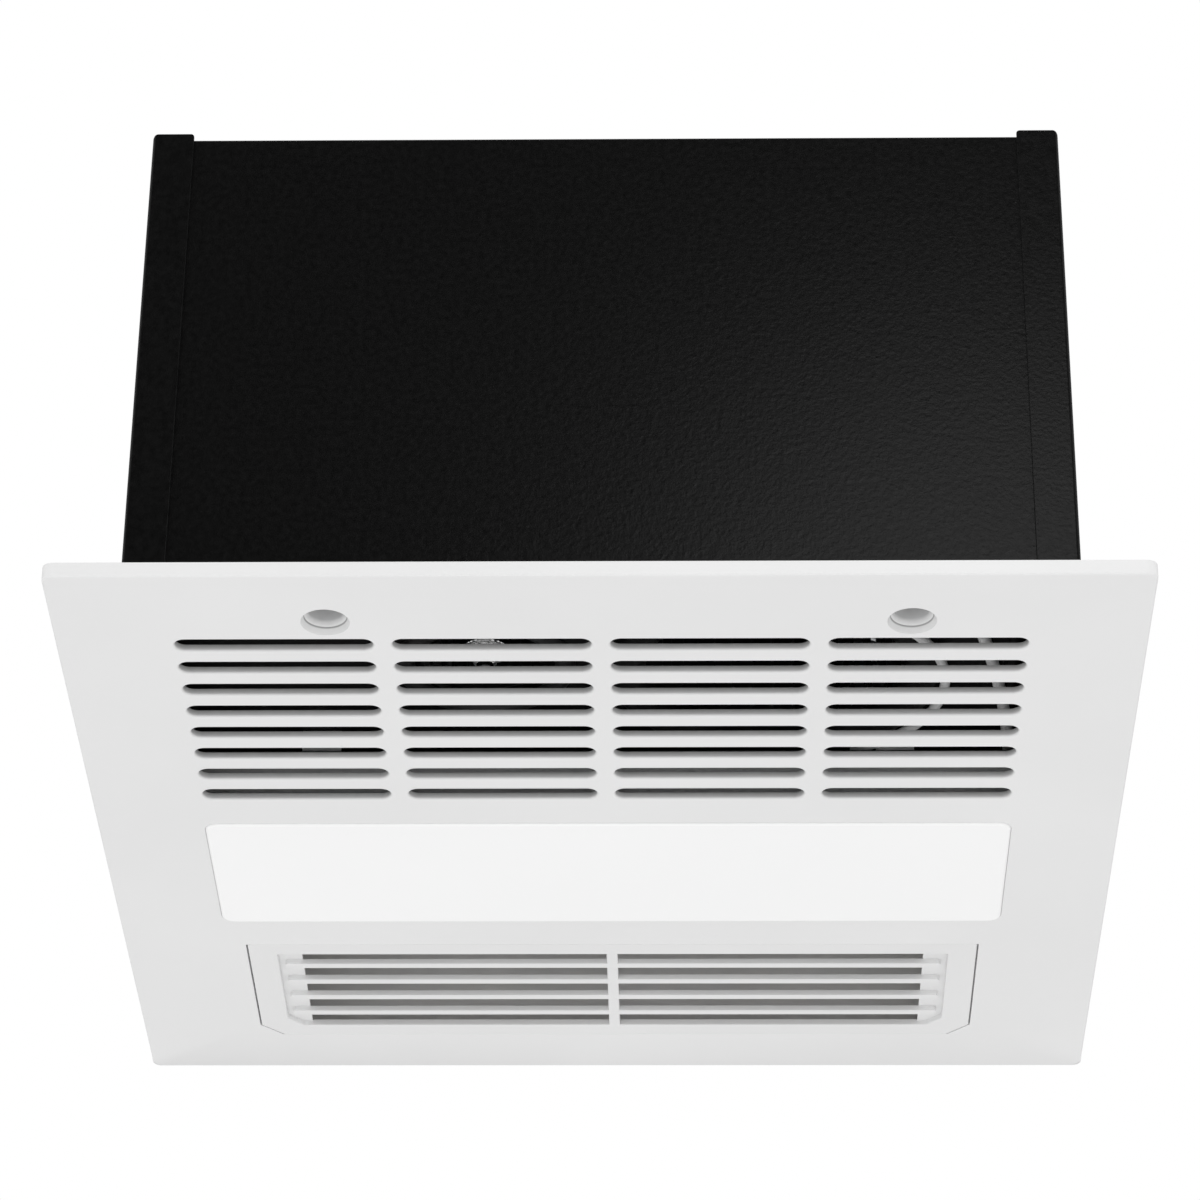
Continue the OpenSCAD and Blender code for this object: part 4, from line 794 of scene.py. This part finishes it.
def turn_screw_heads():
    mesh = bmesh.new()
    for low, high in solid_boxes("housing_screws"):
        middle = (low + high) / 2
        add_cross_head(mesh, Vector((middle.x, low.y, middle.z)), high.x - low.x, high.y - low.y)
    return mesh


add_piece(
    "housing_screw_heads", turn_screw_heads(), zinc_plate, "housing", ["housing_screws"],
    smooth=35)


# Housing: three pieces of 1 mm steel sheet, powder coated black after bending. One sheet wraps the front, top
# and back. The two end panels fold round its edges as 16 mm strips and are screwed to its back. The coat has
# a fine orange peel, and its folds carry a paler band, partly wear and partly painted highlight.
def build_edge_wear_and_highlight():
    # A mask along rounded edges, broken up by noise: wear, and on the black coat painted highlight as well.
    group, given, result = start_group(
        "edge_wear_and_highlight", {"Reach": 0.5 * mm, "Breakup": 300, "Amount": 0.5}, {"Mask": "Float"})
    rounded = add_node(group, "ShaderNodeBevel", {"Radius": given["Reach"]}).outputs["Normal"]
    flat = add_node(group, "ShaderNodeNewGeometry", {}).outputs["Normal"]
    turn = vector_maths(group, "DOT_PRODUCT", rounded, flat, result="Value")
    edge = map_range(group, turn, 0.98, 0.75)
    broken = map_range(group, noise_in(group, given["Breakup"], 4), 0.42, 0.62)
    edge_mark = maths(group, "MULTIPLY", edge, broken)
    feed(group, result, {"Mask": maths(group, "MULTIPLY", edge_mark, given["Amount"])})
    return group


edge_wear_and_highlight = build_edge_wear_and_highlight()


def wear_and_highlight_edges(material, colour, reach=0.4 * mm, breakup=500, amount=0.5):
    edge_mark = add_node(material.node_tree, "ShaderNodeGroup", {
        "Reach": reach, "Breakup": breakup, "Amount": amount}, node_tree=edge_wear_and_highlight)
    blend_colour(material, edge_mark.outputs["Mask"], colour)


powder_coat = make_finish(
    "powder_coat", pale=0.0028, deep=0.001, mottle=420, roughness=(0.28, 0.36), grain=560, depth=0.14 * mm,
    specular=0.42)
# Painted highlight, partly wear: the coat's folded edges carry a pale line.
wear_and_highlight_edges(powder_coat, 0.05)


def fold_sheet(node):
    """A housing sheet from its CAD solid, with its top edge where the sheet's own thickness puts it."""
    edge_rise = 0.9 * mm
    edge_band = 5 * mm
    mesh = softened(node, 0.18 * mm)
    top = max(v.co.z for v in mesh.verts)
    bmesh.ops.translate(
        mesh, vec=(0, 0, edge_rise), verts=[v for v in mesh.verts if v.co.z > top - edge_band])
    return mesh


for name, node in (
        ("wrap_sheet", "housing_wrap"), ("left_end_sheet", "left_end_panel"),
        ("right_end_sheet", "right_end_panel")):
    add_piece(name, fold_sheet(node), powder_coat, "housing", [node])


# Ceiling flange, screw brackets, junction box, its cover and the capacitor's strap: galvanised sheet, cut,
# folded and left bare. The zinc has crystallised in flat grey flakes, the spangle, and is duller along its
# cut edges. The clip nuts are dark spring steel, and the cable clamp is zinc plated.
def build_spangle():
    group, given, result = start_group(
        "spangle", {"Scale": 120, "Spread": 0.3}, {"Shade": "Color", "Roughness": "Float"})
    wobble = noise_in(group, given["Scale"], 2, result="Color")
    drift = vector_maths(group, "MULTIPLY_ADD", wobble, (3 * mm, 3 * mm, 3 * mm), own_place(group))
    flakes = add_node(group, "ShaderNodeTexVoronoi", {"Vector": drift, "Scale": given["Scale"]})
    split = add_node(group, "ShaderNodeSeparateColor", {"Color": flakes.outputs["Color"]}).outputs
    shade = mix_colours(group, split["Red"], (0.36, 0.37, 0.385, 1), (0.62, 0.63, 0.64, 1))
    gloss = map_range(group, split["Green"], to_max=given["Spread"])
    feed(group, result, {"Shade": shade, "Roughness": maths(group, "ADD", 0.3, gloss)})
    return group


spangle = build_spangle()


def make_galvanised(name, scale, spread):
    material = make_finish(
        name, pale=0.6, deep=0.4, mottle=40, roughness=(0.3, 0.5), grain=1800, depth=0.008 * mm,
        metallic=0.9)
    tree = material.node_tree
    flakes = add_node(tree, "ShaderNodeGroup", {"Scale": scale, "Spread": spread}, node_tree=spangle)
    feed(tree, tree.nodes["Principled BSDF"], {
        "Base Color": flakes.outputs["Shade"], "Roughness": flakes.outputs["Roughness"]})
    return material


galvanised = make_galvanised("galvanised", scale=130, spread=0.22)
wear_and_highlight_edges(galvanised, 0.3, reach=0.3 * mm, breakup=700, amount=0.7)
for name, node in (
        ("ceiling_flange", "mounting_flange"), ("bracket_pair", "screw_brackets"),
        ("junction_case", "junction_box"), ("junction_lid", "junction_cover"),
        ("capacitor_band", "capacitor_strap")):
    add_softened(name, node, 0.2 * mm, galvanised)
spring_steel = make_finish(
    "spring_steel", pale=0.075, deep=0.045, mottle=120, roughness=(0.3, 0.5), grain=3000, depth=0.01 * mm,
    metallic=1.0)
add_softened("clip_nut_pair", "clip_nuts", 0.25 * mm, spring_steel)
add_softened("clamp_body", "cable_clamp", 0.25 * mm, zinc_plate)


# Blower deck: black painted steel floor that both blowers stand on, with two inlet holes and a folded bead
# along each end. The paint is thinner and duller than the housing's powder coat.
deck_paint = make_finish(
    "deck_paint", pale=0.006, deep=0.004, mottle=30, roughness=(0.45, 0.6), grain=1600, depth=0.015 * mm,
    specular=0.14)
wear_and_highlight_edges(deck_paint, 0.06, breakup=600)
add_softened("deck_sheet", "blower_deck", 0.2 * mm, deck_paint)


# Inlet rings: bells that lead the air into the wheels. The large one is spun from steel and painted black.
# The small one is moulded in black plastic. Both have a rolled outer edge.
def spin_round(mesh, outline, middle, steps):
    """Turns an outline once round the upright axis through the middle."""
    bmesh.ops.spin(
        mesh, geom=outline, cent=middle, axis=(0, 0, 1), angle=math.tau, steps=steps, use_merge=True)


def spin_bell(node, roll):
    low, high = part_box(node)
    middle = (low + high) / 2
    outer = (high.x - low.x) / 2
    tall = high.z - low.z
    bend = outer - tall
    sheet = 1 * mm
    bead_gap = 0.3 * mm
    steps = 14
    mesh = bmesh.new()
    inside = []
    outside = []
    for step in range(steps + 1):
        angle = math.pi * step / steps
        for side, reach in ((inside, tall), (outside, tall - sheet)):
            side.append((bend - math.cos(angle) * reach, high.z - math.sin(angle) * reach))
    profile = [mesh.verts.new((middle.x + r, middle.y, z)) for r, z in inside + outside[::-1]]
    rim = [mesh.edges.new((a, b)) for a, b in zip(profile, profile[1:] + profile[:1])]
    spin_round(mesh, profile + rim, middle, steps=128)
    bead = bmesh.ops.create_circle(mesh, cap_ends=False, segments=10, radius=roll)["verts"]
    turn_about(mesh, bead, 90, "X")
    bmesh.ops.translate(mesh, vec=(middle.x + outer - roll, middle.y, high.z - roll - bead_gap), verts=bead)
    spin_round(mesh, bead + list({e for v in bead for e in v.link_edges}), middle, steps=128)
    face_outwards(mesh)
    return mesh


spun_steel = make_finish(
    "spun_steel", pale=0.008, deep=0.005, mottle=90, roughness=(0.4, 0.55), grain=2400, depth=0.01 * mm,
    specular=0.14)
wear_and_highlight_edges(spun_steel, 0.06, breakup=600, amount=0.4)
add_piece("large_inlet_bell", spin_bell("exhaust_inlet_ring", 0.9 * mm), spun_steel, "housing",
          ["exhaust_inlet_ring"])
blower_plastic = make_finish(
    "blower_plastic", pale=0.013, deep=0.009, mottle=50, roughness=(0.38, 0.5), grain=2200,
    depth=0.012 * mm, specular=0.4)
add_piece("small_inlet_bell", spin_bell("heater_inlet_ring", 0.7 * mm), blower_plastic, "housing",
          ["heater_inlet_ring"])


# Painted highlights: two pale strips, round in section, under the deck to the right of the large ring. They
# stand for glints: the inner one beside the ring's lip, and the outer one past the end wall.
def mould_glint_strip(thickness, centre, radius, height, first, last):
    """A round strip that follows a level arc between two angles."""
    mesh = bmesh.new()
    loop = bmesh.ops.create_circle(mesh, cap_ends=True, segments=16, radius=thickness / 2)["verts"]
    turn_about(mesh, loop, 90, "X")
    bmesh.ops.translate(mesh, vec=(radius, 0, 0), verts=loop)
    disc = list({f for v in loop for f in v.link_faces})
    bmesh.ops.spin(
        mesh, geom=disc, cent=(0, 0, 0), axis=(0, 0, 1), angle=math.radians(last - first), steps=40)
    turn_about(mesh, mesh.verts, first, "Z")
    bmesh.ops.translate(mesh, vec=(centre[0], centre[1], height), verts=mesh.verts)
    join_close(mesh)
    face_outwards(mesh)
    return mesh


glint_white = make_finish(
    "glint_white", pale=0.94, deep=0.88, mottle=120, roughness=(0.4, 0.55), grain=1800, depth=0.02 * mm)
ring_glint_strip = mould_glint_strip(
    thickness=3.9 * mm, centre=(74 * mm, -67.8 * mm), radius=56.8 * mm, height=27.4 * mm, first=-64, last=67)
add_piece("painted_ring_glint", ring_glint_strip, glint_white, "housing")
wall_glint_strip = mould_glint_strip(
    thickness=4.8 * mm, centre=(-361.6 * mm, 33.2 * mm), radius=521.9 * mm, height=31.5 * mm, first=-19,
    last=-4.6)
add_piece("painted_wall_glint", wall_glint_strip, glint_white, "housing")


# Blowers: a snail-shaped scroll holds each wheel. The exhaust scroll is moulded in black plastic and the
# heater's is pressed steel painted with heat-proof black. The wheels are black nylon, with their blades,
# inlet rim and hub moulded as one.
add_softened("exhaust_casing", "exhaust_scroll", 0.25 * mm, blower_plastic)
heat_paint = make_finish(
    "heat_paint", pale=0.014, deep=0.009, mottle=60, roughness=(0.55, 0.7), grain=1500, depth=0.02 * mm,
    specular=0.35)
wear_and_highlight_edges(heat_paint, 0.05)
add_softened("heater_casing", "heater_scroll", 0.25 * mm, heat_paint)
wheel_nylon = make_finish(
    "wheel_nylon", pale=0.014, deep=0.01, mottle=80, roughness=(0.4, 0.55), grain=2600, depth=0.01 * mm,
    specular=0.4)
for body, node in (("exhaust_rotor", "exhaust_impeller"), ("heater_rotor", "heater_impeller")):
    add_piece(node.replace("impeller", "blades"), merged_copy(node), wheel_nylon, body,
              [node], smooth=30)
for body, node in (
        ("exhaust_rotor", "exhaust_wheel_rim"), ("exhaust_rotor", "exhaust_wheel_hub"),
        ("heater_rotor", "heater_wheel_rim"), ("heater_rotor", "heater_wheel_hub")):
    add_softened(node + "_moulding", node, 0.3 * mm, wheel_nylon, body)


# Shafts and the heater's shaft nut: ground steel shafts, and a stepped cap nut, turned from bar and chromed,
# whose thin beads glint behind the second slot column.
bright_steel = make_finish(
    "bright_steel", pale=(0.66, 0.66, 0.67, 1), deep=(0.54, 0.54, 0.55, 1), mottle=300,
    roughness=(0.18, 0.3), grain=4000, depth=0.004 * mm, metallic=1.0)
add_softened("exhaust_spindle", "exhaust_shaft", 0.3 * mm, bright_steel, body="exhaust_rotor")
add_softened("heater_spindle", "heater_shaft", 0.3 * mm, bright_steel, body="heater_rotor")


def turn_shaft_nut():
    """The nut from its turned outline: radius and height in millimetres, from the tip to the bore."""
    low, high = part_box("heater_shaft_nut")
    middle = (low + high) / 2
    outline = (
        (0.0, 29.4), (1.5, 29.6), (2.7, 30.4), (3.3, 31.6), (3.4, 33.2), (4.3, 33.5), (4.6, 33.9),
        (4.3, 34.3), (4.0, 34.5), (4.0, 36.2), (5.6, 37.6), (6.3, 37.9), (6.7, 38.3), (6.4, 38.7),
        (6.6, 39.6), (8.2, 38.9), (9.1, 39.0), (9.4, 39.4), (9.3, 39.9), (8.5, 40.3), (8.5, 42.2),
        (3.02, 42.2), (3.02, 34.0), (0.0, 34.0))
    mesh = bmesh.new()
    profile = [mesh.verts.new((middle.x + radius * mm, middle.y, height * mm)) for radius, height in outline]
    line = [mesh.edges.new((a, b)) for a, b in zip(profile, profile[1:])]
    spin_round(mesh, profile + line, middle, steps=64)
    join_close(mesh)
    face_outwards(mesh)
    return mesh


chrome = make_finish(
    "chrome", pale=0.86, deep=0.78, mottle=400, roughness=(0.06, 0.14), grain=5000, depth=0.002 * mm,
    metallic=1.0)
add_piece(
    "shaft_nut_turned", turn_shaft_nut(), chrome, "heater_rotor", ["heater_shaft_nut"],
    smooth=35)


# Motors: drawn steel cans with a tapered end bell, cooling slots and three ears, painted dark grey and bolted
# to the scrolls with hexagon nuts.
motor_paint = make_finish(
    "motor_paint", pale=0.17, deep=0.12, mottle=70, roughness=(0.35, 0.5), grain=1500, depth=0.015 * mm,
    metallic=0.5)
wear_and_highlight_edges(motor_paint, 0.4)
add_softened("exhaust_motor_can", "exhaust_motor", 0.35 * mm, motor_paint)
add_softened("heater_motor_can", "heater_motor", 0.35 * mm, motor_paint)
add_softened("motor_nuts_and_studs", "motor_nuts", 0.2 * mm, zinc_plate)


# Ducts and collar: folded and seamed galvanised sheet; the heater's duct is near black. Inside the collar a
# plain aluminium flap hangs on a pin and falls shut by itself.
duct_zinc = make_galvanised("duct_zinc", scale=90, spread=0.26)
for name, node in (("exhaust_duct_sheet", "exhaust_duct"), ("collar_pressing", "duct_collar")):
    add_softened(name, node, 0.2 * mm, duct_zinc)
near_black_zinc = make_finish(
    "near_black_zinc", pale=0.05, deep=0.03, mottle=45, roughness=(0.45, 0.6), grain=1800,
    depth=0.01 * mm, metallic=0.7)
add_softened("heater_duct_sheet", "heater_duct", 0.2 * mm, near_black_zinc)

flap_aluminium = make_finish(
    "flap_aluminium", pale=(0.74, 0.74, 0.75, 1), deep=(0.64, 0.64, 0.65, 1), mottle=60,
    roughness=(0.3, 0.42), grain=2600, depth=0.008 * mm, metallic=1.0)
add_softened("damper_leaf", "damper_flap", 0.15 * mm, flap_aluminium, body="damper")
add_softened("damper_pin_rod", "damper_pin", 0.2 * mm, bright_steel)


# Warm-air plenum: an open-bottomed galvanised box over the louvre. Its far wall is the even grey surface
# behind the louvre's slits.
plenum_zinc = make_finish(
    "plenum_zinc", pale=0.78, deep=0.7, mottle=16, roughness=(0.45, 0.6), grain=1400, depth=0.01 * mm,
    metallic=0.1)
add_softened("plenum_sheet", "warm_plenum", 0.2 * mm, plenum_zinc)


# Heating core: three ceramic heating bars with corrugated aluminium strips bonded between them, carried by
# heat-proof end plates, with a welded wire guard below and a thermal cut-out on the plenum's side wall.
ceramic = make_finish(
    "ceramic", pale=(0.6, 0.5, 0.38, 1), deep=(0.48, 0.38, 0.28, 1), mottle=70, roughness=(0.55, 0.75),
    grain=2000, depth=0.03 * mm, specular=0.4)
add_softened("ceramic_bars", "heating_bars", 0.5 * mm, ceramic)


def fold_fins():
    """One corrugated strip in each gap beside and between the bars, zigzag across the gap."""
    low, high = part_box("heating_fins")
    bars = solid_boxes("heating_bars")
    edges_y = [low.y] + sorted(y for box_low, box_high in bars for y in (box_low.y, box_high.y)) + [high.y]
    fold_pitch = 1.6 * mm
    clear = 0.15 * mm
    folds = int((high.x - low.x) / fold_pitch)
    mesh = bmesh.new()
    for near, far in zip(edges_y[0::2], edges_y[1::2]):
        line = []
        for fold in range(folds + 1):
            across = near + clear if fold % 2 else far - clear
            line.append(mesh.verts.new((low.x + fold * fold_pitch, across, low.z)))
        strip = [mesh.edges.new((a, b)) for a, b in zip(line, line[1:])]
        lift(mesh, bmesh.ops.extrude_edge_only(mesh, edges=strip)["geom"], high.z - low.z)
    face_outwards(mesh)
    return mesh


fin_foil = make_finish(
    "fin_foil", pale=0.78, deep=0.66, mottle=200, roughness=(0.25, 0.4), grain=3000, depth=0.006 * mm,
    metallic=1.0)
fins = add_piece(
    "corrugated_fins", fold_fins(), fin_foil, "housing", ["heating_fins"], smooth=20)
foil = fins.modifiers.new("foil", "SOLIDIFY")
foil.thickness = 0.2 * mm
foil.offset = 0
heat_plastic = make_finish(
    "heat_plastic", pale=(0.72, 0.68, 0.57, 1), deep=(0.64, 0.6, 0.5, 1), mottle=50, roughness=(0.45, 0.6),
    grain=1800, depth=0.015 * mm)
add_softened("core_end_plates", "core_brackets", 0.3 * mm, heat_plastic)
add_softened("guard_wires", "wire_guard", 0.15 * mm, bright_steel, angle=60)
bakelite = make_finish(
    "bakelite", pale=(0.034, 0.028, 0.024, 1), deep=(0.022, 0.018, 0.015, 1), mottle=90,
    roughness=(0.3, 0.45), grain=1800, depth=0.012 * mm)
add_softened("cutout_body", "thermal_cutout", 0.3 * mm, bakelite)


# Light unit: a tray of pale painted sheet hangs under the deck by four lugs and holds a white board with its
# emitters. A rubber edging covers its near edge. Its driver, a white plastic case, stands on the deck.
tray_paint = make_finish(
    "tray_paint", pale=0.86, deep=0.8, mottle=20, roughness=(0.4, 0.5), grain=1600, depth=0.015 * mm,
    specular=0.4)
add_softened("tray_sheet", "light_tray", 0.2 * mm, tray_paint)


def press_on_edging():
    """A rubber strip pushed on the tray's near edge."""
    low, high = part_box("light_tray")
    grip = 1.6 * mm
    rubber = 1 * mm
    bottom = 22 * mm
    top = 24.4 * mm
    mesh = bmesh.new()
    add_box(mesh, (low.x + rubber, low.y - rubber, bottom), (high.x - rubber, low.y + grip, top))
    round_edges(mesh, mesh.edges[:], 0.4 * mm)
    return mesh


edging_rubber = make_finish(
    "edging_rubber", pale=0.085, deep=0.06, mottle=80, roughness=(0.5, 0.65), grain=1800, depth=0.02 * mm,
    specular=0.3)
add_piece("tray_edging", press_on_edging(), edging_rubber, "housing")
board_coat = make_finish(
    "board_coat", pale=0.87, deep=0.83, mottle=40, roughness=(0.3, 0.42), grain=2600, depth=0.006 * mm)
add_softened("emitter_board", "light_board", 0.15 * mm, board_coat)


def mould_emitters():
    """Each chip a box with a dished face under its rim."""
    mesh = bmesh.new()
    for low, high in solid_boxes("light_emitters"):
        made = add_box(mesh, low, high)
        lens = min({f for v in made for f in v.link_faces}, key=lambda f: f.calc_center_median().z)
        for inset, depth in ((0.5 * mm, 0), (0.3 * mm, -0.3 * mm)):
            bmesh.ops.inset_individual(mesh, faces=[lens], thickness=inset, depth=depth, use_even_offset=True)
    face_outwards(mesh)
    return mesh


phosphor = make_finish(
    "phosphor", pale=(0.88, 0.75, 0.28, 1), deep=(0.8, 0.66, 0.2, 1), mottle=800, roughness=(0.25, 0.4),
    grain=4000, depth=0.01 * mm)
add_piece("emitter_chips", mould_emitters(), phosphor, "housing", ["light_emitters"])
driver_case = make_finish(
    "driver_case", pale=0.77, deep=0.72, mottle=30, roughness=(0.38, 0.5), grain=1800, depth=0.02 * mm)
add_softened("driver_moulding", "light_driver", 1.0 * mm, driver_case, segments=3)


# Terminal block and run capacitor: a cream nylon block with a hole for each pole, and a pale plastic can with
# two tab terminals, strapped to the front wall.
nylon = make_finish(
    "nylon", pale=(0.82, 0.78, 0.68, 1), deep=(0.76, 0.71, 0.6, 1), mottle=60, roughness=(0.4, 0.52),
    grain=1800, depth=0.012 * mm)
add_softened("terminal_moulding", "terminal_block", 0.4 * mm, nylon)
can_plastic = make_finish(
    "can_plastic", pale=0.64, deep=0.57, mottle=35, roughness=(0.35, 0.48), grain=1800, depth=0.012 * mm)
add_softened("capacitor_can", "run_capacitor", 0.3 * mm, can_plastic)
